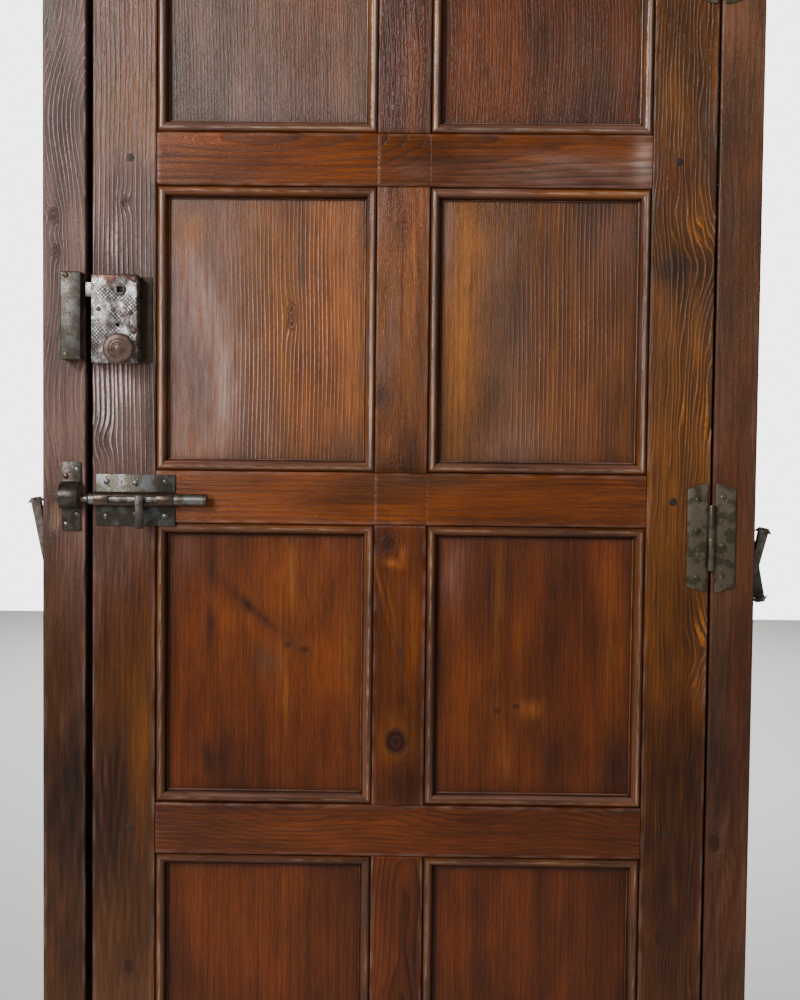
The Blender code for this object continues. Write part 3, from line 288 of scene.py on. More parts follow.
def keep_attributes(mesh: Mesh, **layers: Array) -> None:
    """Store a number, a vector or a colour for each vertex.

    Args:
        mesh: The mesh.
        layers: The values, by the attribute's name.
    """
    kinds = {1: ("FLOAT", "value"), 3: ("FLOAT_VECTOR", "vector"), 4: ("FLOAT_COLOR", "color")}
    for name, values in layers.items():
        kind, key = kinds[1 if values.ndim == 1 else values.shape[1]]
        layer = mesh.attributes.new(name, kind, "POINT")
        layer.data.foreach_set(key, np.ascontiguousarray(values, dtype=np.float32).ravel())


def bake_modifiers(obj: Piece) -> None:
    """Replace a piece's mesh by what its modifiers make of it.

    Args:
        obj: The piece.
    """
    depsgraph = bpy.context.evaluated_depsgraph_get()
    mesh = bpy.data.meshes.new_from_object(obj.evaluated_get(depsgraph), depsgraph=depsgraph)
    obj.modifiers.clear()
    old = obj.data
    obj.data = mesh
    bpy.data.meshes.remove(old)


def cut_away(obj: Piece, cutter: Piece) -> None:
    """Cut a shape out of a piece for good, and remove the shape.

    Args:
        obj: The piece.
        cutter: The shape.
    """
    modifier = obj.modifiers.new("cut", "BOOLEAN")
    modifier.operation = "DIFFERENCE"
    modifier.solver = "MANIFOLD"
    modifier.object = cutter
    bake_modifiers(obj)
    bpy.data.objects.remove(cutter, do_unlink=True)


def hand_over(obj: Piece, material: Material, body: str, nodes: Sequence[str]) -> None:
    """Give a finished piece its material and its place in the frame.

    Args:
        obj: The piece.
        material: Its material.
        body: The body that it rides on.
        nodes: The nodes that it stands for, if any.
    """
    obj.data.materials.clear()
    obj.data.materials.append(material)
    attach(obj, body)
    if nodes:
        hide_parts(*nodes)
    LOG.info("%s: %d faces on %s", obj.name, len(obj.data.polygons), body)


# Materials
class Bench:
    """Adds and links the nodes of one tree."""

    def __init__(self, tree: bpy.types.NodeTree) -> None:
        """Work on a tree."""
        self.tree = tree

    def feed(self, socket: Socket, value: Any) -> None:
        """Link a socket to another, or set its value.

        Args:
            socket: The socket to feed.
            value: A socket or a plain value.
        """
        if isinstance(value, Socket):
            self.tree.links.new(value, socket)
        else:
            socket.default_value = value

    def node(self, kind: str, inputs: dict[Any, Any], **settings: Any) -> bpy.types.Node:
        """Add a node.

        Args:
            kind: The node's type.
            inputs: Sockets or plain values, by the input's name or number.
            settings: The node's own properties.

        Returns:
            The node.
        """
        made = self.tree.nodes.new(kind)
        for key, value in settings.items():
            setattr(made, key, value)
        for key, value in inputs.items():
            self.feed(made.inputs[key], value)
        return made

    def out(self, kind: str, inputs: dict[Any, Any], **settings: Any) -> Socket:
        """Add a node and return its first output."""
        return self.node(kind, inputs, **settings).outputs[0]


@dataclass(frozen=True)
class Streaks:
    """Noise drawn out along the grain, and the shades that its range stands for."""

    scale: Place
    detail: float
    low: float
    high: float
    start: float
    end: float


class MaterialBench(Bench):
    """Builds one material round its Principled shader."""

    def __init__(self, name: str) -> None:
        """Start a material.

        Args:
            name: The material's name.
        """
        self.material = bpy.data.materials.new(name)
        self.material.use_nodes = True
        super().__init__(self.material.node_tree)
        self.shader = self.tree.nodes["Principled BSDF"]

    def attribute(self, name: str, output: str) -> Socket:
        """Read a vertex attribute."""
        return self.node("ShaderNodeAttribute", {}, attribute_name=name).outputs[output]

    def place(self) -> Socket:
        """Read the object's own coordinates."""
        return self.node("ShaderNodeTexCoord", {}).outputs["Object"]

    def part(self, vector: Socket, axis: int) -> Socket:
        """Return one coordinate of a vector."""
        return self.node("ShaderNodeSeparateXYZ", {0: vector}).outputs[axis]

    def math(self, operation: str, first: Any, second: Any = 0.0) -> Socket:
        """Return a sum on two numbers."""
        return self.out("ShaderNodeMath", {0: first, 1: second}, operation=operation)

    def stretched(self, vector: Any, factors: Place) -> Socket:
        """Return a vector with each coordinate multiplied."""
        return self.out("ShaderNodeVectorMath", {0: vector, 1: factors}, operation="MULTIPLY")

    def scaled(self, vector: Any, factor: Any) -> Socket:
        """Return a vector or colour multiplied by a number."""
        return self.out("ShaderNodeVectorMath", {0: vector, "Scale": factor}, operation="SCALE")

    def turned(self, vector: Any, degrees: Place) -> Socket:
        """Return a vector turned about the origin."""
        angles = tuple(math.radians(angle) for angle in degrees)
        return self.out("ShaderNodeMapping", {"Vector": vector, "Rotation": angles})

    def noise(self, vector: Any, scale: float, detail: float) -> Socket:
        """Return fractal noise."""
        return self.out("ShaderNodeTexNoise", {"Vector": vector, "Scale": scale, "Detail": detail})

    def drawn(self, timber: Socket, streaks: Streaks) -> Socket:
        """Return noise drawn out along the grain."""
        return self.noise(self.stretched(timber, streaks.scale), 1.0, streaks.detail)

    def shaded(self, noise: Socket, streaks: Streaks) -> Socket:
        """Return the shades that noise along the grain stands for."""
        return self.between(noise, streaks.low, streaks.high, streaks.start, streaks.end)

    def between(self, value: Any, low: float, high: float, start: float = 0.0, end: float = 1.0) -> Socket:
        """Return a value mapped from one range to another, and held inside it."""
        return self.out("ShaderNodeMapRange", {0: value, 1: low, 2: high, 3: start, 4: end})

    def ramp(self, value: Any, stops: Sequence[Pair]) -> Socket:
        """Read a grey value from a ramp.

        Args:
            value: Where to read it, from 0 to 1.
            stops: The ramp's places and greys.

        Returns:
            The grey value.
        """
        made = self.node("ShaderNodeValToRGB", {0: value})
        elements = made.color_ramp.elements
        while len(elements) < len(stops):
            elements.new(1.0)
        for element, (position, grey) in zip(elements, stops):
            element.position = position
            element.color = (grey, grey, grey, 1.0)
        return made.outputs[0]

    def mix(self, factor: Any, first: Any, second: Any) -> Socket:
        """Return a mix of two colours."""
        ends = [value if isinstance(value, Socket) else (*value, 1.0) for value in (first, second)]
        return self.node("ShaderNodeMix", {0: factor, 6: ends[0], 7: ends[1]}, data_type="RGBA").outputs[2]

    def lerp(self, factor: Any, first: Any, second: Any) -> Socket:
        """Return a mix of two numbers."""
        return self.out("ShaderNodeMix", {0: factor, 2: first, 3: second}, data_type="FLOAT")

    def bump(self, height: Any, strength: float, depth: float) -> None:
        """Press a height into the shader's normal."""
        pressed = self.out("ShaderNodeBump", {"Strength": strength, "Distance": depth, "Height": height})
        self.feed(self.shader.inputs["Normal"], pressed)

    def surface(self, colour: Any, roughness: Any, metallic: float = 0.0) -> Material:
        """Feed the shader.

        Args:
            colour: Base colour.
            roughness: Roughness.
            metallic: How far the surface is metal.

        Returns:
            The finished material.
        """
        self.feed(self.shader.inputs["Base Color"], colour)
        self.feed(self.shader.inputs["Roughness"], roughness)
        self.feed(self.shader.inputs["Metallic"], metallic)
        return self.material


FIBRE = Streaks((900.0, 48.0, 900.0), 2.0, 0.32, 0.68, 0.72, 1.05)
SPECK = Streaks((1000.0, 280.0, 1000.0), 2.0, 0.32, 0.68, 0.90, 1.08)
STREAK = Streaks((170.0, 4.5, 170.0), 2.0, 0.0, 1.0, -0.25, 0.25)
MOTTLE = Streaks((24.0, 8.0, 24.0), 3.0, 0.3, 0.7, 0.70, 1.18)
BROAD = Streaks((9.0, 3.5, 9.0), 2.0, 0.32, 0.68, 0.66, 1.18)
LINE = Streaks((420.0, 6.0, 420.0), 3.0, 0.34, 0.64, 0.78, 1.12)
DASH = Streaks((500.0, 190.0, 500.0), 2.0, 0.38, 0.56, 0.40, 1.0)

# Shade across one year ring: planed, worn and deeply worn; the pale ridges of the worn rings are partly a
# painted highlight
FRESH_RING = ((0.0, 1.0), (0.40, 0.92), (0.70, 0.60), (0.86, 0.18), (0.93, 0.34), (1.0, 1.0))
ERODED_RING_AND_HIGHLIGHT = ((0.0, 0.36), (0.10, 0.28), (0.45, 0.44), (0.60, 0.38), (0.68, 0.26), (0.77, 0.96),
               (0.92, 1.0), (1.0, 0.36))
DEEP_RING_AND_HIGHLIGHT = ((0.0, 0.24), (0.08, 0.10), (0.30, 0.13), (0.44, 0.60), (0.54, 1.0), (0.92, 1.0), (1.0, 0.24))


@dataclass(frozen=True)
class WoodFinish:
    """Varnished softwood, read from the attributes that a board carries."""

    name: str
    slot: str
    roughness: float = 0.23
    weather: float = 0.32
    specular: float = 0.40
    contrast: float = 0.92
    fibre: Streaks = FIBRE
    pale: float = 0.92
    crest_highlight: float = 1.75
    bump: float = 0.75
    bump_depth: float = 0.0007
    deep_from: float = 0.62
    deep_reach: float = 0.28
    eroding: Pair = (0.26, 0.44)
    crest_ridge: Pair = (0.6, 1.0)
    crest_worn: Pair = (0.30, 0.90)
    hollow_dull: float = 0.12
    gloss_ridge: Pair = (0.25, 0.85)
    ring_relief: Span = (0.10, 0.50, 0.0, 0.6)
    knot_relief: Span = (0.0, 0.6, 1.0, 0.0)
    fine_relief: float = 0.8
    knot: Colour = (0.046, 0.012, 0.005)
    knot_rings: Pair = (0.55, 1.5)
    bleached_highlight: Colour = (0.950, 0.795, 0.780)

    def material(self) -> Material:
        """Build the material: year rings, fibres, mottling and knots over the board's own colour.

        Returns:
            The material.
        """
        bench = MaterialBench(self.name)
        timber = bench.attribute("timber", "Vector")
        weathered = bench.attribute("weathered", "Fac")
        figured = bench.attribute("figured", "Fac")
        knotted = bench.attribute("knot", "Fac")
        tint = bench.attribute("tint", "Color")
        fibre, speck = bench.drawn(timber, self.fibre), bench.drawn(timber, SPECK)
        drift = bench.shaded(bench.drawn(timber, STREAK), STREAK)
        phase = bench.math("FRACT", bench.math("ADD", bench.attribute("ring", "Fac"), drift))

        # Shade of the rings; on worn wood the pale ridges are partly a painted highlight
        deep = bench.between(weathered, self.deep_from, self.deep_from + self.deep_reach)
        eroded_and_highlight = bench.lerp(deep, bench.ramp(phase, ERODED_RING_AND_HIGHLIGHT), bench.ramp(phase, DEEP_RING_AND_HIGHLIGHT))
        shade = bench.lerp(bench.between(weathered, *self.eroding), bench.ramp(phase, FRESH_RING), eroded_and_highlight)
        plain = bench.math("MULTIPLY", figured, self.contrast)
        lost = bench.math("MULTIPLY", plain, bench.math("SUBTRACT", 1.0, shade))
        toned = bench.math("SUBTRACT", 1.0, lost)
        broad, mottle, line = (bench.drawn(timber, streaks) for streaks in (BROAD, MOTTLE, LINE))
        layers = ((broad, BROAD), (speck, SPECK), (fibre, self.fibre), (mottle, MOTTLE), (line, LINE))
        for noise, streaks in layers:
            toned = bench.math("MULTIPLY", toned, bench.shaded(noise, streaks))

        # Colour, with pale crests that are partly bleached wood and partly a painted highlight, and dark
        # knots
        colour = bench.scaled(tint, toned)
        worn = bench.between(weathered, *self.crest_worn)
        crest_highlight = bench.math("MULTIPLY", bench.between(eroded_and_highlight, *self.crest_ridge), worn)
        crest_highlight = bench.math("MULTIPLY", crest_highlight, bench.shaded(bench.drawn(timber, DASH), DASH))
        bright = bench.mix(bench.attribute("tint", "Alpha"), bench.scaled(tint, self.crest_highlight), self.bleached_highlight)
        colour = bench.mix(bench.math("MULTIPLY", crest_highlight, self.pale), colour, bright)
        core = bench.scaled(self.knot, bench.between(phase, 0.0, 1.0, *self.knot_rings))
        colour = bench.mix(knotted, colour, core)

        # Gloss and relief
        groove = bench.lerp(weathered, self.roughness + self.hollow_dull, self.roughness + self.weather)
        gloss = bench.lerp(bench.between(shade, *self.gloss_ridge), groove, self.roughness)
        height = bench.math("MULTIPLY", shade, bench.between(figured, *self.ring_relief))
        height = bench.math("MULTIPLY", height, bench.between(knotted, *self.knot_relief))
        for noise in (fibre, speck):
            height = bench.math("ADD", height, bench.math("MULTIPLY", noise, self.fine_relief))
        bench.bump(height, self.bump, self.bump_depth)
        bench.feed(bench.shader.inputs["Specular IOR Level"], self.specular)
        return bench.surface(colour, gloss)


@dataclass(frozen=True)
class MetalFinish:
    """Old metal: bare where it is rubbed, stained where it isn't."""

    name: str
    slot: str
    bare: Colour
    stain: Colour
    grime: Colour
    roughness: float = 0.42
    metallic: float = 0.85
    stained: float = 0.5
    blotch: float = 70.0
    pitting: float = 0.35
    hatch: float = 0.0
    shine: float = 0.0
    rust_above: Optional[float] = None
    brown_before: Optional[float] = None
    blotch_detail: float = 6.0
    fine_ratio: float = 9.0
    fine_detail: float = 4.0
    fine_range: Pair = (0.3, 0.7)
    fine_relief: float = 0.6
    blotch_relief: float = 0.5
    pit_depth: float = 0.0006
    stain_edge: Pair = (0.66, 0.74)
    stain_shift: float = 0.35
    grime_span: Span = (0.5, 0.72, 0.0, 0.75)
    rough_range: Pair = (-0.1, 0.16)
    polish: Colour = (0.82, 0.82, 0.82)
    polish_edge: Pair = (0.53, 0.66)
    polish_ratio: float = 1.9
    polish_detail: float = 5.0
    polish_stretch: Place = (1.0, 1.0, 0.6)
    rust: Colour = (0.095, 0.038, 0.022)
    rust_fringe: float = 0.006
    rust_amount: float = 0.9
    brown: Colour = (0.125, 0.080, 0.058)
    brown_fringe: float = 0.003
    brown_amount: float = 0.75
    scratch_angles: Pair = (42.0, -47.0)
    scratch_pitch: float = 0.0036
    scratch_edge: Pair = (0.35, 0.85)
    scratch_wobble: float = 0.0012
    scratch_relief: float = 0.5
    wobble_noise: Pair = (90.0, 2.0)
    break_noise: Pair = (60.0, 3.0)
    break_edge: Pair = (0.44, 0.54)

    def material(self) -> Material:
        """Build the material from blotches, fine mottling, scratches and rust.

        Returns:
            The material.
        """
        bench = MaterialBench(self.name)
        place = bench.place()
        blotch = bench.noise(place, self.blotch, self.blotch_detail)
        fine = bench.noise(place, self.blotch * self.fine_ratio, self.fine_detail)
        shift = self.stain_shift * self.stained
        spread = bench.between(blotch, *(edge - shift for edge in self.stain_edge))
        colour = bench.mix(spread, self.bare, self.stain)
        colour = bench.mix(bench.between(fine, *self.grime_span), colour, self.grime)
        if self.shine:
            stretched = bench.stretched(place, self.polish_stretch)
            spot = bench.noise(stretched, self.blotch * self.polish_ratio, self.polish_detail)
            colour = bench.mix(bench.between(spot, *self.polish_edge, 0.0, self.shine), colour, self.polish)
        rough = bench.between(fine, *self.fine_range, *(self.roughness + more for more in self.rough_range))
        height = bench.math("ADD", bench.math("MULTIPLY", fine, self.fine_relief),
                            bench.math("MULTIPLY", blotch, self.blotch_relief))
        if self.hatch:
            lines = self.scratches(bench, place)
            colour = bench.mix(bench.math("MULTIPLY", lines, self.hatch), colour, self.grime)
            height = bench.math("SUBTRACT", height, bench.math("MULTIPLY", lines, self.scratch_relief))
        if self.rust_above is not None:
            uneven = bench.between(blotch, *self.fine_range, -self.rust_fringe, self.rust_fringe)
            level = bench.math("ADD", bench.part(place, 2), uneven)
            top = self.rust_above + self.rust_fringe
            rusted = bench.between(level, self.rust_above, top, 0.0, self.rust_amount)
            colour = bench.mix(rusted, colour, self.rust)
        if self.brown_before is not None:
            front = self.brown_before - self.brown_fringe
            ahead = bench.between(bench.part(place, 1), front, self.brown_before, self.brown_amount, 0.0)
            colour = bench.mix(ahead, colour, self.brown)
        bench.bump(height, self.pitting, self.pit_depth)
        return bench.surface(colour, rough, self.metallic)

    def scratches(self, bench: MaterialBench, place: Socket) -> Socket:
        """Draw two crossing sets of fine lines, broken up by noise.

        Args:
            bench: The material's bench.
            place: The object's own coordinates.

        Returns:
            1 on a line and 0 off it.
        """
        lines = []
        for angle in self.scratch_angles:
            across = bench.part(bench.turned(place, (0.0, angle, 0.0)), 0)
            noise = bench.noise(place, *self.wobble_noise)
            wobble = bench.between(noise, 0.0, 1.0, -self.scratch_wobble, self.scratch_wobble)
            turns = bench.math("MULTIPLY", bench.math("ADD", across, wobble), TURN / self.scratch_pitch)
            lines.append(bench.between(bench.math("SINE", turns), *self.scratch_edge))
        broken = bench.between(bench.noise(place, *self.break_noise), *self.break_edge)
        return bench.math("MULTIPLY", bench.math("MAXIMUM", *lines), broken)


class Metal(Enum):
    """The finishes of the fittings, and of the pegs' dark ends."""

    CASE = MetalFinish("rubbed_case_steel", "grey_steel", (0.32, 0.305, 0.295), (0.17, 0.135, 0.125),
                       (0.050, 0.036, 0.030), roughness=0.38, blotch=95.0, pitting=0.6, hatch=0.95,
                       shine=0.7, rust_above=1.3130)
    KEEPER = MetalFinish("cast_keeper_grey", "grey_steel", (0.15, 0.14, 0.128), (0.105, 0.082, 0.066),
                         (0.040, 0.028, 0.020), roughness=0.44, metallic=0.75, stained=0.6)
    BOLT = MetalFinish("blue_grey_steel", "grey_steel", (0.150, 0.155, 0.146), (0.085, 0.072, 0.054),
                       (0.032, 0.024, 0.018), roughness=0.34, stained=0.62, blotch=45.0, brown_before=-0.006)
    STRAP = MetalFinish("brown_strap_iron", "grey_steel", (0.110, 0.096, 0.082), (0.070, 0.052, 0.040),
                        (0.028, 0.020, 0.014), roughness=0.40, metallic=0.8)
    ROD = MetalFinish("rubbed_rod_steel", "bright_steel", (0.27, 0.26, 0.245), (0.145, 0.115, 0.092),
                      (0.050, 0.034, 0.025), roughness=0.34, metallic=0.9, stained=0.45)
    LATCH = MetalFinish("bright_latch_steel", "bright_steel", (0.33, 0.315, 0.30), (0.20, 0.175, 0.15),
                        (0.075, 0.050, 0.036), roughness=0.34, metallic=0.9, stained=0.4)
    PLATE = MetalFinish("dark_plate_iron", "old_iron", (0.085, 0.050, 0.028), (0.060, 0.033, 0.018),
                        (0.022, 0.013, 0.007), roughness=0.46, metallic=0.4)
    HINGE = MetalFinish("green_brown_iron", "old_iron", (0.190, 0.155, 0.105), (0.100, 0.082, 0.050),
                        (0.036, 0.028, 0.018), metallic=0.75)
    SPIKE = MetalFinish("forged_spike_iron", "old_iron", (0.170, 0.148, 0.120), (0.085, 0.058, 0.040),
                        (0.040, 0.030, 0.022), roughness=0.5, metallic=0.45, blotch=120.0, pitting=0.7)
    PALE_SPIKE = MetalFinish("pale_spike_iron", "old_iron", (0.300, 0.255, 0.215), (0.190, 0.150, 0.120),
                             (0.080, 0.060, 0.046), roughness=0.5, metallic=0.35, blotch=120.0, pitting=0.7)
    SCREW = MetalFinish("rusted_screw_brown", "bright_steel", (0.150, 0.095, 0.070), (0.110, 0.060, 0.040),
                        (0.040, 0.022, 0.014), roughness=0.48, metallic=0.6, blotch=150.0)
    KNOB = MetalFinish("worn_knob_brown", "knob_finish", (0.190, 0.120, 0.096), (0.130, 0.078, 0.060),
                       (0.045, 0.026, 0.019), metallic=0.4, stained=0.45, blotch=120.0, pitting=0.3)
    PEG = MetalFinish("dark_peg_end", "leaf_wood", (0.045, 0.020, 0.011), (0.026, 0.012, 0.007),
                      (0.014, 0.007, 0.004), roughness=0.5, metallic=0.0, blotch=160.0, pitting=0.5)


# What the saw and the years left on the boards, with painted sheen in places
@dataclass(frozen=True)
class Points:
    """Points of a board: across its grain, into its face and along its grain."""

    grain: Grain
    across: Array
    depth: Array
    along: Array

    @property
    def x(self) -> Array:
        """Return how far right the points lie."""
        return self.across if self.grain is Grain.UPRIGHT else self.along

    @property
    def z(self) -> Array:
        """Return how high the points lie."""
        return self.along if self.grain is Grain.UPRIGHT else self.across


@dataclass(frozen=True)
class Knot:
    """A knot, how many year rings it pushes aside and how many it holds."""

    x: float
    z: float
    size: float
    swirl: float = 3.0
    dark: float = 0.9
    aspect: float = 1.7
    rings: float = 2.6

    def middle(self, grain: Grain) -> Pair:
        """Return the knot's place across and along the grain."""
        return (self.x, self.z) if grain is Grain.UPRIGHT else (self.z, self.x)


@dataclass(frozen=True)
class Area:
    """A part of a board's face: its middle and its reach."""

    x: float
    z: float
    reach_x: float
    reach_z: float

    def offsets(self, at: Points) -> tuple[Array, Array]:
        """Return how far points lie from the middle, with the reach as the unit."""
        return (at.x - self.x) / self.reach_x, (at.z - self.z) / self.reach_z

    def far(self, at: Points) -> Array:
        """Return the square of the points' distance, with the reach as the unit."""
        right, up = self.offsets(at)
        return right ** 2 + up ** 2


@dataclass(frozen=True)
class Patch(Area):
    """A soft-edged area of another colour, turned by a tilt."""

    colour: Pine
    amount: float = 0.7
    tilt: float = 0.0
    ragged: float = 0.45

    def offsets(self, at: Points) -> tuple[Array, Array]:
        """Turn points into the patch's own directions.

        Args:
            at: Points of the board.

        Returns:
            How far they lie from the middle, with the reach as the unit.
        """
        cos, sin = math.cos(math.radians(self.tilt)), math.sin(math.radians(self.tilt))
        x, z = at.x - self.x, at.z - self.z
        return (x * cos + z * sin) / self.reach_x, (z * cos - x * sin) / self.reach_z


@dataclass(frozen=True)
class Wear(Area):
    """An area that is worn, or hushed, more or less than the rest of a board."""

    amount: float


@dataclass(frozen=True)
class Chip(Area):
    """A place where the surface has broken away."""

    depth: float = 0.0012


@dataclass(frozen=True)
class Figure:
    """A board's growth, wear and colour."""

    base: Pine = ORANGE
    pith_across: float = 0.10
    pith_depth: float = 0.06
    drift: float = 0.0
    spacing: float = 0.0046
    wander: float = 0.006
    waviness: float = 0.20
    wave_length: float = 0.50
    relief: float = 0.00022
    weathered: float = 0.15
    figured: float = 1.0
    calm: float = 0.5
    edge_wear: float = 0.30
    splice: float = 0.0
    splice_tilt: float = 0.0
    ripple: float = 0.0
    bleach_and_highlight: float = 0.0
    knots: tuple[Knot, ...] = ()
    patches: tuple[Patch, ...] = ()
    chips: tuple[Chip, ...] = ()
    wear: tuple[Wear, ...] = ()
    quiet: tuple[Wear, ...] = ()


def patches(*rows: tuple[Any, ...]) -> tuple[Patch, ...]:
    """Return patches from rows of their values."""
    return tuple(Patch(*row) for row in rows)


PLAIN_FIGURE = Figure(RUSSET, pith_depth=0.05, drift=0.02)
